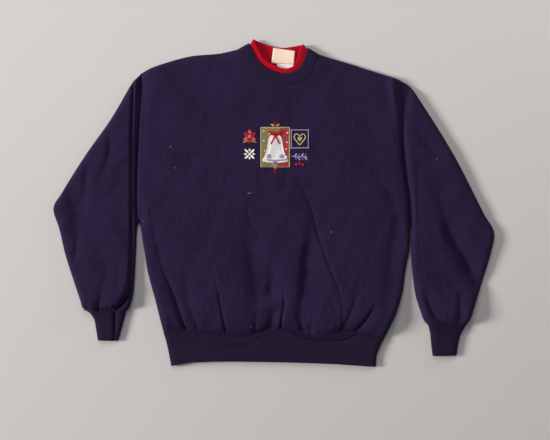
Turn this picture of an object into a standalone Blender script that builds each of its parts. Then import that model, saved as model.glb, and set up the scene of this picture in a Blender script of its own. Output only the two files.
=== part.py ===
"""A crew-neck sweatshirt with an embroidered Christmas panel, laid flat on its back.

The fleece body has a front and a back panel, two set-in sleeves, and ribbed cuffs,
waistband and collar. A second, red rib collar is sewn inside the navy one, and two
labels hang from the back of the neck. Every piece is a cloth wall of its own, 0.3 mm
from its neighbours at the seams. The neck points to +Y and the back lies on the floor,
z = 0. Right and left are the wearer's, so the right sleeve is on the -X side.

The tables and sizes are in millimetres and the finished meshes are in metres.
"""

from collections import namedtuple

import bpy
import numpy as np
from mathutils.bvhtree import BVHTree

MM = 0.001

# Cloth and seams
FLEECE = 2.0            # thickness of the fleece and of the plain side of the ribs
RIB_RAISE = 0.8         # how far a rib stands out of its cloth
RIB_PITCH = 5.5         # from one rib to the next
SEAM_GAP = 0.3
SEAM_FLAT = 3.0         # the strip beside a seam that lies level
CORNER_GAP = 1.0        # more gap where folded edges end and four pieces meet
CORNER_THINNING = 0.5   # share of the cloth's thickness that goes there

# Heights of the cloth's outer surface above the floor
EDGE = 5.0              # middle of a folded edge, where the front meets the back
EDGE_STRIP = 1.2        # upright strip at a folded edge
CHEST = 14.0
BODY_BLOUSE = 27.0      # the body where it puffs out above the waistband
BLOUSE_REACH = 34.0     # from the seam to the highest line of the puff
ARMHOLE = 11.5          # bottom of the valley along an armhole seam
SLEEVE = 16.0
SLEEVE_BLOUSE = 27.0    # a sleeve where it puffs out above its cuff
BAND = 12.0             # waistband and cuffs, without the ribs
COLLAR = 17.0           # front of the navy collar, without the ribs
COLLAR_EDGE = 8.5       # middle of the collars' folds at the shoulders
LABEL_LIFT = 4.7        # underside of the lower label
LABEL_CLOTH = 0.5
EMBROIDERY = 0.9        # thickness of the stitched panel

# Widths over which a wall turns round to a folded edge
TURN_UP = (0.0, 0.0, 2.0, 7.0, 14.0)
TURN_DOWN = (0.0, 0.0, 1.5, 5.0, 10.0)
BESIDE_SEAM = (0.0, 3.0, 6.0, 10.0, 14.0)
NECK_TURN_MORE = 8.0    # the turn is wider beside the neck
NECK_TURN_REACH = 40.0
COLLAR_TURN = 16.0

# Widths over which the cloth rises from a seam to its full height
HEM_RISE = 22.0
NECK_RISE = 45.0
ARMHOLE_RISE = 26.0
CUFF_RISE = 20.0
SLEEVE_REACH = 27.0     # from the cuff's seam to the highest line of the sleeve's puff
CORNER_REACH = 9.0      # radius of the wider gap at a corner
THINNING_REACH = 16.0   # radius of the thinner cloth there

Section = namedtuple("Section", "place left right")

# The body's side seams up to the armpit, then its armholes up to the shoulder
BODY = (
    Section("hem seam", (-234, -274), (235, -286)),
    Section("puff", (-240, -250), (256, -243)),
    Section("hip", (-252, -203), (272, -195)),
    Section("waist", (-267, -148), (280, -140)),
    Section("underarm", (-276, -95), (287, -95)),
    Section("armpit", (-285, -39), (291, -46)),
    Section("armhole foot", (-291, -16), (289, -5)),
    Section("armhole low", (-292, 40), (281, 60)),
    Section("armhole middle", (-289, 120), (274, 125)),
    Section("armhole high", (-283, 200), (268, 198)),
    Section("shoulder", (-282, 275), (263, 264)),
)
ARMPIT = 5              # row of BODY where the side seam ends and the armhole starts

Sleeve = namedtuple("Sleeve", "place outer inner")

RIGHT_SLEEVE = (
    Sleeve("armhole", (-282, 275), (-285, -39)),
    Sleeve("beside the armhole", (-290, 267), (-289.5, -46)),
    Sleeve("cap", (-298, 259), (-291, -62)),
    Sleeve("upper arm", (-347, 177), (-292, -88)),
    Sleeve("above elbow", (-398, 105), (-293, -108)),
    Sleeve("elbow top", (-449, 24), (-294, -130)),
    Sleeve("elbow", (-467.5, -10), (-295, -148)),
    Sleeve("below elbow", (-455, -55), (-296, -165)),
    Sleeve("forearm", (-443, -107), (-297, -180)),
    Sleeve("low forearm", (-428, -154), (-299, -195)),
    Sleeve("puff", (-411, -203), (-303, -211)),
    Sleeve("tuck", (-404, -223), (-307, -222)),
    Sleeve("cuff seam", (-391, -232), (-313, -228)),
)

LEFT_SLEEVE = (
    Sleeve("armhole", (263, 264), (291, -46)),
    Sleeve("beside the armhole", (272, 259), (295, -54)),
    Sleeve("cap", (290, 247), (296, -75)),
    Sleeve("upper arm", (321, 202), (295, -97)),
    Sleeve("above elbow", (386, 96), (294, -125)),
    Sleeve("elbow top", (446, -22), (295, -152)),
    Sleeve("elbow", (468, -65), (298, -178)),
    Sleeve("below elbow", (460, -107), (301, -195)),
    Sleeve("forearm", (446, -154), (306, -213)),
    Sleeve("puff", (429, -209), (313, -233)),
    Sleeve("tuck", (416, -247), (320, -250)),
    Sleeve("cuff seam", (407, -261), (328, -258)),
)

Cuff = namedtuple("Cuff", "place left right")

RIGHT_CUFF = (
    Cuff("seam", (-391, -232), (-313, -228)),
    Cuff("narrowing", (-382, -245), (-318, -246)),
    Cuff("middle", (-378, -264), (-324, -268)),
    Cuff("free edge", (-374, -289), (-330, -290)),
)
LEFT_CUFF = (
    Cuff("seam", (328, -258), (407, -261)),
    Cuff("narrowing", (332, -276), (396, -280)),
    Cuff("middle", (334, -298), (391, -302)),
    Cuff("free edge", (337, -322), (388, -321)),
)

# Neck, from the right shoulder round the front to the left one: the seam to the body,
# the navy collar's free edge and the red collar's free edge
Neck = namedtuple("Neck", "seam navy red")

FRONT_NECK = (
    Neck((-76, 327), (-54, 339), (-44, 347)),
    Neck((-65, 304), (-49, 328), (-38, 332)),
    Neck((-53, 282), (-43, 316), (-29, 316)),
    Neck((-38, 265), (-33, 299), (-19, 301)),
    Neck((-18, 255), (-18, 286), (-5, 293)),
    Neck((6, 250), (3, 277), (8, 287)),
    Neck((30, 249), (25, 273), (25, 283)),
    Neck((54, 255), (47, 279), (42, 289)),
    Neck((74, 268), (60, 292), (49, 303)),
    Neck((86, 290), (68, 311), (55, 322)),
    Neck((94, 317), (74, 329), (64, 336)),
)
BACK_NECK = (
    Neck((-76, 327), (-54, 339), (-44, 347)),
    Neck((-38, 301), (-25, 323), (-19, 337)),
    Neck((9, 290), (10, 316), (13, 329)),
    Neck((56, 296), (45, 320), (43, 332)),
    Neck((94, 317), (74, 329), (64, 336)),
)
RIGHT_SHOULDER = ((-282, 275), (-269, 283), (-224, 300), (-178, 312), (-110, 319), (-76, 327))
LEFT_SHOULDER = ((94, 317), (134, 304), (155, 298), (202, 283), (263, 264))
NECK_START = 0.37       # share of the panel's width where the neck begins
NECK_END = 0.67

HEM_SEAM = ((-234, -274), (-195, -271), (-133, -273), (-97, -275), (-44, -279), (-12, -271),
            (28, -268), (68, -277), (109, -279), (168, -273), (204, -279), (235, -286))
BAND_EDGE = ((-218, -344), (-201, -339), (-137, -334), (-42, -334), (60, -336), (134, -339),
             (217, -345))
BAND_SIDES = (
    Cuff("seam", (-234.0, -275), (235, -287)),
    Cuff("upper", (-230, -288), (226, -303)),
    Cuff("lower", (-225, -308), (219, -322)),
    Cuff("free edge", (-218, -344), (217, -345)),
)

# The largest folds. Depth is how far a trough sinks, or a ridge rises where it is
# negative, and reach is the half width of either.
Fold = namedtuple("Fold", "place depth reach line")

BODY_FOLDS = (
    Fold("right side, deep", 6, 13, ((-262, -8), (-250, -82), (-231, -154), (-205, -225), (-186, -266))),
    Fold("right hip", 3, 12, ((-186, -156), (-180, -205), (-161, -264))),
    Fold("right of middle", 4, 12, ((-133, -143), (-120, -171), (-112, -215), (-101, -271))),
    Fold("middle, soft", 3, 14, ((-57, -82), (-53, -122), (-44, -171), (-44, -222), (-53, -266))),
    Fold("middle", 6, 12, ((8, -140), (15, -186), (20, -222), (15, -266))),
    Fold("left of middle, broad", 7, 15, ((81, -54), (68, -101), (60, -141), (64, -194), (62, -266))),
    Fold("long fold", 4, 13, ((41, 62), (68, 20), (92, -61), (128, -162), (147, -243), (145, -266))),
    Fold("left hip", 6, 13, ((212, -226), (189, -251), (168, -268))),
    Fold("left side, broad", 4, 20, ((261, -42), (253, -101), (246, -162), (234, -215))),
    Fold("left chest arc", 4, 14, ((149, 115), (189, 88), (221, 56), (246, 16), (259, -20), (263, -73))),
    Fold("across the right chest", 2, 20, ((-252, 41), (-195, 26), (-125, 7), (-93, -1))),
    Fold("left shoulder", 3, 14, ((60, 257), (98, 274), (140, 283), (195, 266), (229, 264))),
)
RIGHT_SLEEVE_FOLDS = (
    Fold("along the armhole", 5, 12, ((-298, 251), (-300, 143), (-305, 62), (-305, -59), (-307, -175))),
    Fold("upper arm", 4, 14, ((-351, 143), (-353, 111), (-357, 79), (-371, 54))),
    Fold("elbow", 5, 14, ((-419, -71), (-426, -99), (-428, -135))),
    Fold("inside of the elbow", 4, 12, ((-351, -59), (-335, -95), (-326, -103))),
    Fold("above the cuff", 7, 12, ((-353, -143), (-363, -179), (-371, -215))),
)
LEFT_SLEEVE_FOLDS = (
    Fold("along the armhole", 4, 12, ((304, 67), (306, -35), (310, -120), (316, -188))),
    Fold("elbow diagonal", 7, 14, ((352, 33), (357, -6), (361, -48), (382, -86), (420, -154))),
    Fold("across the forearm", 4, 13, ((306, -145), (352, -154), (382, -167))),
    Fold("above the cuff", 6, 12, ((318, -201), (331, -226), (357, -247))),
    Fold("outer side", 4, 12, ((399, -175), (395, -205), (386, -245))),
)

# Labels and embroidery, as corner points from the lower left round to the upper left
NECK_LABEL = ((-5, 297), (43, 295), (45, 323), (-1, 330))
SIZE_LABEL = ((7, 279), (42, 278), (42, 300), (7, 300))
STITCHED_PANEL = ((-27, 77), (33, 77), (33, 161), (-27, 161))

# How finely each wall is divided. Rows are distances from the hem seam, or shares of a
# tube's length where they are below 1.
BODY_SIDE = 560.0       # hem seam to shoulder, along the side seam and the armhole
SLEEVE_SIDE = 330.0     # armhole to cuff seam
NECK_GIRTH = 250.0      # seam round the front of the neck
SHOULDER_SPANS = 8
NECK_SPANS = 10
BACK_SHOULDER_SPANS = 3
BACK_NECK_SPANS = 4
COLLAR_BACK_SPANS = 14
FRONT_ROWS_LOW = (20.0, 30.0, 42.0, 58.0, 80.0, 105.0, 132.0, 160.0, 190.0)
BACK_ROWS_LOW = (60.0, 120.0, 180.0)
ARMPIT_ROWS = (-10.0, 0.0, 2.0, 7.0, 14.0)
LEAST_ROW = 0.02        # share of the side that is kept free below the armpit's rows
BODY_ROWS_HIGH = 6
TOP_FADE = 3            # power with which the neck's curve fades out down the body
NECK_CORNER = (2.0, 7.0, 14.0)
SLEEVE_ROWS = 12
SLEEVE_TOP_ROWS = (0.0, 0.3, 0.6, 1.0)
SLEEVE_LAST_ROW = 0.92
FLOOR_COLUMNS = (0.62, 0.38)
LEAST_SINE = 0.45       # of the angle between a slanting edge and a ring, which spaces columns
EVEN_FROM = 0.3         # share of a sleeve where its columns stand evenly
WAISTBAND_ROWS = (0.0, 0.04, 0.45, 1.0)
CUFF_ROWS = (0.0, 0.05, 0.4, 1.0)
BAND_END_GAP = 0.5      # more gap at the ends of the waistband's seams
CUFF_GAP = 0.6

# Where the collars' rings lie, as shares of the way from one line to the next
COLLAR_FOOT = 0.06
COLLAR_MIDDLE = 0.5
RED_FOOT = 0.12
RED_LEAVING = 0.10
TIP_INWARDS = ((0.48, -0.88), (-0.51, -0.86))   # from the right and left tips to the middle
TIP_REACH = 25.0
COLLAR_APART = 0.1      # play between the two collars, beside the seam gap

LABEL_SPANS = (6, 3)
PANEL_SPANS = (6, 8)
# Where the front is looked at under and round each point of the stitched panel
PANEL_STEPS = np.array(((0, 0), (6, 0), (-6, 0), (0, 6), (0, -6), (5, 5), (5, -5), (-5, 5), (-5, -5)))
LABEL_CURL = 0.5        # how much higher the sides of the neck label stand than its middle
SIZE_LABEL_CURL = 0.3
LABELS_APART = 0.9
PANEL_APART = 0.9       # under the stitched panel, so that folds of the front clear it
ABOVE_ALL = 200.0

Material = namedtuple("Material", "name color roughness")
NAVY_FLEECE = Material("navy_fleece", (0.020, 0.012, 0.040, 1), 0.95)
NAVY_RIB = Material("navy_rib", (0.018, 0.011, 0.036, 1), 0.92)
RED_RIB = Material("red_rib", (0.33, 0.004, 0.014, 1), 0.88)
CREAM_LABEL = Material("cream_label", (0.90, 0.72, 0.55, 1), 0.60)
WHITE_LABEL = Material("white_label", (0.88, 0.86, 0.88, 1), 0.60)
STITCHES = Material("embroidery", (0.30, 0.27, 0.07, 1), 0.50)


# ---- curves and distances in plan ----

def through(knots, values, t):
    """A smooth curve through values at the knots, read at t."""
    knots = np.asarray(knots, float)
    values = np.asarray(values, float)
    slopes = np.gradient(values, knots, axis=0)
    t = np.clip(np.asarray(t, float), knots[0], knots[-1])
    span = np.clip(np.searchsorted(knots, t, side="right") - 1, 0, len(knots) - 2)
    step = (knots[span + 1] - knots[span])[..., None]
    s = (t - knots[span])[..., None] / step
    start = (2 * s**3 - 3 * s**2 + 1) * values[span] + (s**3 - 2 * s**2 + s) * step * slopes[span]
    end = (3 * s**2 - 2 * s**3) * values[span + 1] + (s**3 - s**2) * step * slopes[span + 1]
    return start + end


def lengths(points):
    """Distance along a line of points, from 0 to 1."""
    steps = np.linalg.norm(np.diff(np.asarray(points, float), axis=0), axis=1)
    sums = np.concatenate(([0.0], np.cumsum(steps)))
    return sums / sums[-1]


def smooth(points, t):
    """A smooth curve through points, read at the shares t of its length."""
    return through(lengths(points), points, t)


def straight(points, t):
    """The straight-sided line through points, read at the shares t of its length."""
    points = np.asarray(points, float)
    knots = lengths(points)
    return np.stack([np.interp(t, knots, points[:, axis]) for axis in range(points.shape[1])], axis=-1)


def distance(points, line):
    """Shortest plan distance from each of the points to a line."""
    points = np.asarray(points, float)[..., None, :2]
    starts = np.asarray(line, float)[:-1, :2]
    runs = np.asarray(line, float)[1:, :2] - starts
    share = ((points - starts) * runs).sum(-1) / np.maximum((runs * runs).sum(-1), 1e-9)
    feet = starts + np.clip(share, 0, 1)[..., None] * runs
    return np.linalg.norm(points - feet, axis=-1).min(-1)


def set_off(line, gap, towards, end_gap=0.0):
    """A line moved sideways by the gap, to the side where the point towards lies.

    Its two ends move by end_gap more.
    """
    line = np.asarray(line, float)[:, :2]
    apart = np.linalg.norm(np.diff(line, axis=0), axis=1) > 0.01
    line = line[np.concatenate(([True], apart))]
    runs = np.gradient(line, axis=0)
    side = np.stack((-runs[:, 1], runs[:, 0]), axis=1)
    side /= np.linalg.norm(side, axis=1)[:, None]
    middle = len(line) // 2
    sign = np.sign(np.dot(side[middle], np.asarray(towards, float) - line[middle]))
    gaps = np.full(len(line), gap)
    gaps[0] = gaps[-1] = gap + end_gap
    return line + sign * gaps[:, None] * side


def ease(value, low, high):
    """0 up to low, 1 from high, and a soft step between them."""
    share = np.clip((value - low) / (high - low), 0, 1)
    return share * share * (3 - 2 * share)


def turned(away, turn):
    """How far a wall has turned round from a folded edge: 0 on it, 1 past the turn."""
    share = np.clip(away / turn, 0, 1)
    return np.sqrt(1 - (1 - share)**2)


def puff(away, reach):
    """The swelling of gathered cloth at a distance from its seam, 1 at its highest."""
    return away / reach * np.exp(1 - away / reach)


def fold_cloth(height, points, folds):
    """Sinks each trough of a table of folds into the heights at the points."""
    for fold in folds:
        line = smooth(fold.line, np.linspace(0, 1, 24))
        height = height - fold.depth * np.exp(-(distance(points, line) / fold.reach)**2)
    return height


# ---- the outline of each piece ----

def section_knots(table):
    """Shared knots for the two sides of a table of sections."""
    left = lengths([row[1] for row in table])
    right = lengths([row[2] for row in table])
    return (left + right) / 2


def side_line(table, side, t):
    return through(section_knots(table), [row[side] for row in table], t)


def top_line(u, neck_rows):
    """Shoulder, neck and shoulder of a panel, from its right side to its left."""
    u = np.asarray(u, float)
    right = smooth(RIGHT_SHOULDER, np.clip(u / NECK_START, 0, 1))
    neck = smooth([row.seam for row in neck_rows], np.clip((u - NECK_START) / (NECK_END - NECK_START), 0, 1))
    left = smooth(LEFT_SHOULDER, np.clip((u - NECK_END) / (1 - NECK_END), 0, 1))
    before = (u <= NECK_START)[..., None]
    after = (u >= NECK_END)[..., None]
    return np.where(before, right, np.where(after, left, neck))


def fill(u, t, left, right, bottom, top, top_share):
    """Points between four edges: left and right read at t, bottom and top at u."""
    across = (1 - u)[..., None] * left(t) + u[..., None] * right(t)
    u3 = u[..., None]
    low_chord = (1 - u3) * left(np.zeros_like(t)) + u3 * right(np.zeros_like(t))
    high_chord = (1 - u3) * left(np.ones_like(t)) + u3 * right(np.ones_like(t))
    low = (1 - t)[..., None]**top_share * (bottom(u) - low_chord)
    high = t[..., None]**top_share * (top(u) - high_chord)
    return across + low + high


# ---- making the solids ----

def face_list(rows, columns, closed, upwards):
    spans = columns if closed else columns - 1
    faces = []
    for row in range(rows - 1):
        for column in range(spans):
            beside = (column + 1) % columns
            face = (row * columns + column, row * columns + beside,
                    (row + 1) * columns + beside, (row + 1) * columns + column)
            faces.append(face if upwards else face[::-1])
    return faces


def make_material(look):
    material = bpy.data.materials.new(look.name)
    material.use_nodes = True
    shader = material.node_tree.nodes["Principled BSDF"]
    shader.inputs["Base Color"].default_value = look.color
    shader.inputs["Roughness"].default_value = look.roughness
    shader.inputs["Metallic"].default_value = 0.0
    material.diffuse_color = look.color
    return material


def cloth_wall(name, grid, look, wall=FLEECE, closed=False, upwards=True):
    """A grid of outer points as an object, given its thickness on the inner side.

    wall is the thickness, one for the whole piece or one for each point.
    """
    rows, columns = grid.shape[:2]
    mesh = bpy.data.meshes.new(name)
    mesh.from_pydata((grid.reshape(-1, 3) * MM).tolist(), [], face_list(rows, columns, closed, upwards))
    mesh.update()
    mesh.shade_smooth()
    mesh.materials.append(make_material(look))
    piece = bpy.data.objects.new(name, mesh)
    most = float(np.max(wall))
    thickness = piece.modifiers.new("cloth", "SOLIDIFY")
    thickness.offset = -1
    thickness.thickness = most * MM
    if np.ndim(wall):
        group = piece.vertex_groups.new(name="thickness")
        for index, here in enumerate(wall.reshape(-1)):
            group.add([index], here / most, "REPLACE")
        thickness.vertex_group = group.name
    return piece


def outward(grid, closed, upwards):
    """Unit normals of a grid of points, on its outer side."""
    along = np.gradient(grid, axis=0)
    if closed:
        across = (np.roll(grid, -1, axis=1) - np.roll(grid, 1, axis=1)) / 2
    else:
        across = np.gradient(grid, axis=1)
    normal = np.cross(across, along)
    normal /= np.maximum(np.linalg.norm(normal, axis=-1), 1e-9)[..., None]
    return normal if upwards else -normal


def ribbed(grid, raised, upwards):
    """A ring grid whose ribs stand out of it, with the thickness that keeps its inside plain."""
    return grid + outward(grid, True, upwards) * raised[..., None], FLEECE + raised


# ---- front and back ----

def body_grid(neck_rows, turn, upper):
    """Plan points of a body panel, and how near each is to the start of its edges."""
    armpit = section_knots(BODY)[ARMPIT]
    low_rows = BESIDE_SEAM[:4] + FRONT_ROWS_LOW if upper else BESIDE_SEAM[:2] + BACK_ROWS_LOW
    low_rows = np.array(low_rows) / BODY_SIDE
    after = armpit + np.array(ARMPIT_ROWS) / BODY_SIDE
    high = np.linspace(after[-1], 1 - BESIDE_SEAM[-1] / BODY_SIDE, BODY_ROWS_HIGH + 1)[1:]
    rows = np.concatenate((low_rows[low_rows < after[0] - LEAST_ROW], after, high, np.ones(4)))
    t_row = rows[:, None]
    width = np.linalg.norm(side_line(BODY, 2, rows) - side_line(BODY, 1, rows), axis=1)[:, None]

    # Beside the armholes the columns keep clear of the seam, beside the side seams they turn
    on_armhole = ease(rows, armpit, after[-1])[:, None]
    beside = (1 - on_armhole) * np.array(turn) + on_armhole * np.array(BESIDE_SEAM)
    edge = beside / width
    shoulder_spans = SHOULDER_SPANS if upper else BACK_SHOULDER_SPANS
    neck_spans = NECK_SPANS if upper else BACK_NECK_SPANS
    right_part = edge[:, -1:] + (NECK_START - edge[:, -1:]) * np.linspace(0, 1, shoulder_spans + 1)[1:]
    corner = np.array(NECK_CORNER) / NECK_GIRTH
    shares = np.concatenate((corner, np.linspace(corner[-1], 1 - corner[-1], neck_spans + 1)[1:],
                             1 - corner[1::-1], [1.0]))
    neck_part = NECK_START + (NECK_END - NECK_START) * shares
    left_part = NECK_END + (1 - edge[:, -1:] - NECK_END) * np.linspace(0, 1, shoulder_spans + 1)[1:]
    neck_part = np.repeat(neck_part[None], len(rows), axis=0)
    u = np.concatenate((edge, right_part, neck_part, left_part, 1 - edge[:, -2::-1]), axis=1)

    # The last rows follow the top edge, at the turn's distances on the shoulders
    past_corner = np.minimum(u[-1] - NECK_START, NECK_END - u[-1])
    at_neck = ease(past_corner, 0.0, (NECK_END - NECK_START) * corner[-1])
    drop = top_line(u[-1], neck_rows)
    chord = (1 - u[-1])[:, None] * drop[0] + u[-1][:, None] * drop[-1]
    deep = np.maximum(chord[:, 1] - drop[:, 1], 0)
    reach = BODY_SIDE - TOP_FADE * deep
    t = np.repeat(t_row, u.shape[1], axis=1)
    for step in range(len(BESIDE_SEAM)):
        clear = (1 - at_neck) * turn[step] + at_neck * BESIDE_SEAM[step]
        t[-1 - step] = 1 - clear / reach

    hem = HEM_SEAM if upper else (HEM_SEAM[0], HEM_SEAM[-1])
    points = fill(u, t, lambda v: side_line(BODY, 1, v), lambda v: side_line(BODY, 2, v),
                  lambda v: smooth(hem, v), lambda v: top_line(v, neck_rows), TOP_FADE)
    return points, on_armhole, at_neck, len(rows[rows < armpit])


def body_edges():
    """The folded edges of the body, as lines: the side seams and the shoulders."""
    armpit = section_knots(BODY)[ARMPIT]
    low = np.linspace(0, armpit, 100)
    return (side_line(BODY, 1, low), side_line(BODY, 2, low),
            smooth(RIGHT_SHOULDER, np.linspace(0, 1, 100)), smooth(LEFT_SHOULDER, np.linspace(0, 1, 100)))


def body_height(points):
    """Height of the front's outer surface, before it turns down at the folded edges."""
    armpit = section_knots(BODY)[ARMPIT]
    high = np.linspace(armpit, 1, 30)
    hem = distance(points, smooth(HEM_SEAM, np.linspace(0, 1, 60)))
    neck = distance(points, smooth([row.seam for row in FRONT_NECK], np.linspace(0, 1, 60)))
    armholes = np.minimum(distance(points, side_line(BODY, 1, high)),
                          distance(points, side_line(BODY, 2, high)))
    height = CHEST + (BODY_BLOUSE - CHEST) * puff(hem, BLOUSE_REACH)
    height = fold_cloth(height, points, BODY_FOLDS)
    height = BAND + (height - BAND) * ease(hem, SEAM_FLAT, HEM_RISE)
    height = COLLAR + (height - COLLAR) * ease(neck, SEAM_FLAT, NECK_RISE)
    return ARMHOLE + (height - ARMHOLE) * ease(armholes, SEAM_FLAT, ARMHOLE_RISE)


EDGE_ENDS = (BODY[ARMPIT].left, BODY[ARMPIT].right, RIGHT_SHOULDER[0], RIGHT_SHOULDER[-1],
             LEFT_SHOULDER[0], LEFT_SHOULDER[-1])
CROWDED_CORNERS = EDGE_ENDS + (HEM_SEAM[0], HEM_SEAM[-1], RIGHT_SLEEVE[2].inner, LEFT_SLEEVE[2].inner)


def nearness(points, places, reach):
    """1 on any of the places and fading out within the reach."""
    away = [np.linalg.norm(points[..., :2] - np.array(place, float), axis=-1) for place in places]
    return np.exp(-(np.min(away, axis=0) / reach)**2)


def corner_gap(points):
    """Half the gap between front and back, wider at the ends of their folded edges."""
    return SEAM_GAP / 2 + CORNER_GAP * nearness(points, EDGE_ENDS, CORNER_REACH)


def set_edges(height, edge, strip, on_armhole, at_neck):
    """Gives the folded edges their level and the upright strip beside it."""
    for column, beside in ((0, 1), (-1, -2)):
        height[:, beside] = (1 - on_armhole) * strip[:, beside] + on_armhole * height[:, beside]
        height[:, column] = (1 - on_armhole) * edge[:, column] + on_armhole * height[:, column]
    height[-2] = np.where(at_neck == 0, strip[-2], height[-2])
    height[-1] = np.where(at_neck == 0, edge[-1], height[-1])


def thinned(points):
    """Thickness of the fleece, thinner where several folded edges end in one corner."""
    return FLEECE * (1 - CORNER_THINNING * nearness(points, CROWDED_CORNERS, THINNING_REACH))


def make_front():
    points, on_armhole, at_neck, low_rows = body_grid(FRONT_NECK, TURN_UP, True)
    edges = body_edges()
    away = np.min([distance(points, edge) for edge in edges], axis=0)
    bottom = EDGE + corner_gap(points)
    neck_corners = (RIGHT_SHOULDER[-1], LEFT_SHOULDER[0])
    turn = TURN_UP[-1] + NECK_TURN_MORE * nearness(points, neck_corners, NECK_TURN_REACH)
    height = bottom + (body_height(points) - bottom) * turned(away, turn)
    set_edges(height, bottom, bottom + EDGE_STRIP, on_armhole[:, 0], at_neck)
    grid = np.concatenate((points, height[..., None]), axis=-1)
    return grid, low_rows


def make_back():
    points, on_armhole, at_neck, low_rows = body_grid(BACK_NECK, TURN_DOWN, False)
    away = np.min([distance(points, edge) for edge in body_edges()], axis=0)
    top = EDGE - corner_gap(points)
    height = top * (1 - turned(away, TURN_DOWN[-1]))
    set_edges(height, top, top - EDGE_STRIP, on_armhole[:, 0], at_neck)
    return np.concatenate((points, height[..., None]), axis=-1), low_rows


# ---- tubes: sleeves, cuffs and waistband ----

def tube_grid(table, start_top, start_floor, end_line, rows, columns, height, middle, matched=False):
    """Rings of a flattened tube: over the top from left to right, back underneath.

    rows are shares of the length, and columns are shares of the width on the top.
    """
    def left(t):
        return side_line(table, 1, t)

    def right(t):
        return side_line(table, 2, t)

    left_line = left(np.linspace(0, 1, 150))
    right_line = right(np.linspace(0, 1, 150))
    widths = np.linalg.norm(right(rows) - left(rows), axis=1)[:, None]
    ends = []
    for side_edge in (left, right):
        tangent = np.gradient(side_edge(rows), axis=0)
        ring = right(rows) - left(rows)
        cross = np.abs(tangent[:, 0] * ring[:, 1] - tangent[:, 1] * ring[:, 0])
        sine = cross / (np.linalg.norm(tangent, axis=1) * np.linalg.norm(ring, axis=1))
        ends.append(1 / np.maximum(sine, LEAST_SINE)[:, None])
    up = np.array(TURN_UP[2:])
    down = np.array(TURN_DOWN[2:])
    if matched:
        # The columns leave the seam at its own points and even out along the tube
        left_part = np.concatenate((np.zeros((len(rows), 1)), up * ends[0] / widths), axis=1)
        right_part = 1 - np.concatenate((up[::-1] * ends[1] / widths, np.zeros((len(rows), 1))), axis=1)
        inner_spans = len(columns) - 2 * len(TURN_UP[1:]) + 1
        inner_share = np.linspace(0, 1, inner_spans + 1)[1:-1]
        inner = left_part[:, -1:] + (right_part[:, :1] - left_part[:, -1:]) * inner_share
        even = np.concatenate((left_part, inner, right_part), axis=1)
        leaving = ease(rows, 0.0, EVEN_FROM)[:, None]
        top_u = (1 - leaving) * columns[None] + leaving * even
        floor_u = top_u[:, -2:0:-1]
    else:
        top_u = np.repeat(columns[None], len(rows), axis=0)
        floor_u = np.concatenate((1 - down * ends[1] / widths,
                                  np.repeat([FLOOR_COLUMNS], len(rows), axis=0),
                                  down[::-1] * ends[0] / widths), axis=1)
    grids = []
    for u, start in ((top_u, start_top), (floor_u, start_floor)):
        t = np.repeat(rows[:, None], u.shape[1], axis=1)
        points = fill(u, t, left, right, start, end_line, 1)
        away = np.minimum(distance(points, left_line), distance(points, right_line))
        if u is top_u:
            z = middle + (height(points) - middle) * turned(away, TURN_UP[-1])
            z[:, 0] = middle
            z[:, -1] = middle
        else:
            z = middle * (1 - turned(away, TURN_DOWN[-1]))
        grids.append(np.concatenate((points, z[..., None]), axis=-1))
    return np.concatenate(grids, axis=1), top_u.shape[1]


def sleeve_grid(table, armhole_line, folds):
    """A set-in sleeve, from its armhole seam down to its cuff seam."""
    outside = (table[4].outer[0], 0.0)
    seam = set_off(armhole_line, SEAM_GAP, outside)[::-1]
    cuff_seam = np.array([table[-1].outer, table[-1].inner], float)

    def start(u):
        return straight(seam, u)

    def end(u):
        return straight(cuff_seam, u)

    def height(points):
        from_cuff = distance(points, cuff_seam)
        value = SLEEVE + (SLEEVE_BLOUSE - SLEEVE) * puff(from_cuff, SLEEVE_REACH)
        value = fold_cloth(value, points, folds)
        value = BAND + (value - BAND) * ease(from_cuff, SEAM_FLAT, CUFF_RISE)
        return ARMHOLE + (value - ARMHOLE) * ease(distance(points, seam), SEAM_FLAT, ARMHOLE_RISE)

    beside = section_knots(table)[1] * np.array(SLEEVE_TOP_ROWS)
    last = np.array(BESIDE_SEAM[3::-1]) / SLEEVE_SIDE
    along = np.linspace(beside[-1], SLEEVE_LAST_ROW, SLEEVE_ROWS + 1)[1:]
    elbow = section_knots(table)[[row.place for row in table].index("elbow")]
    along[np.argmin(np.abs(along - elbow))] = elbow
    rows = np.concatenate((beside, along, 1 - last))
    return tube_grid(table, start, start, end, rows, lengths(seam), height, EDGE, matched=True)


def rib_count(line):
    """How many ribs stand side by side along a line."""
    steps = np.diff(np.asarray(line, float)[:, :2], axis=0)
    return round(float(np.linalg.norm(steps, axis=1).sum()) / RIB_PITCH)


def band_grid(table, top_seam, floor_seam, end_line, rows):
    """A ribbed band: a flattened tube with ribs along it, raised on its upper side."""
    columns = np.linspace(0, 1, 2 * rib_count(end_line) + 1)

    def level(points):
        return np.full(points.shape[:-1], BAND)

    def start(u):
        return straight(top_seam, u)

    def floor(u):
        return straight(floor_seam, u)

    def end(u):
        return smooth(end_line, u)

    grid, top_count = tube_grid(table, start, floor, end, rows, columns, level, EDGE)
    raised = np.zeros(grid.shape[:2])
    raised[1:, 1:top_count - 1:2] = RIB_RAISE
    return grid, raised


# ---- the collars ----

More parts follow.
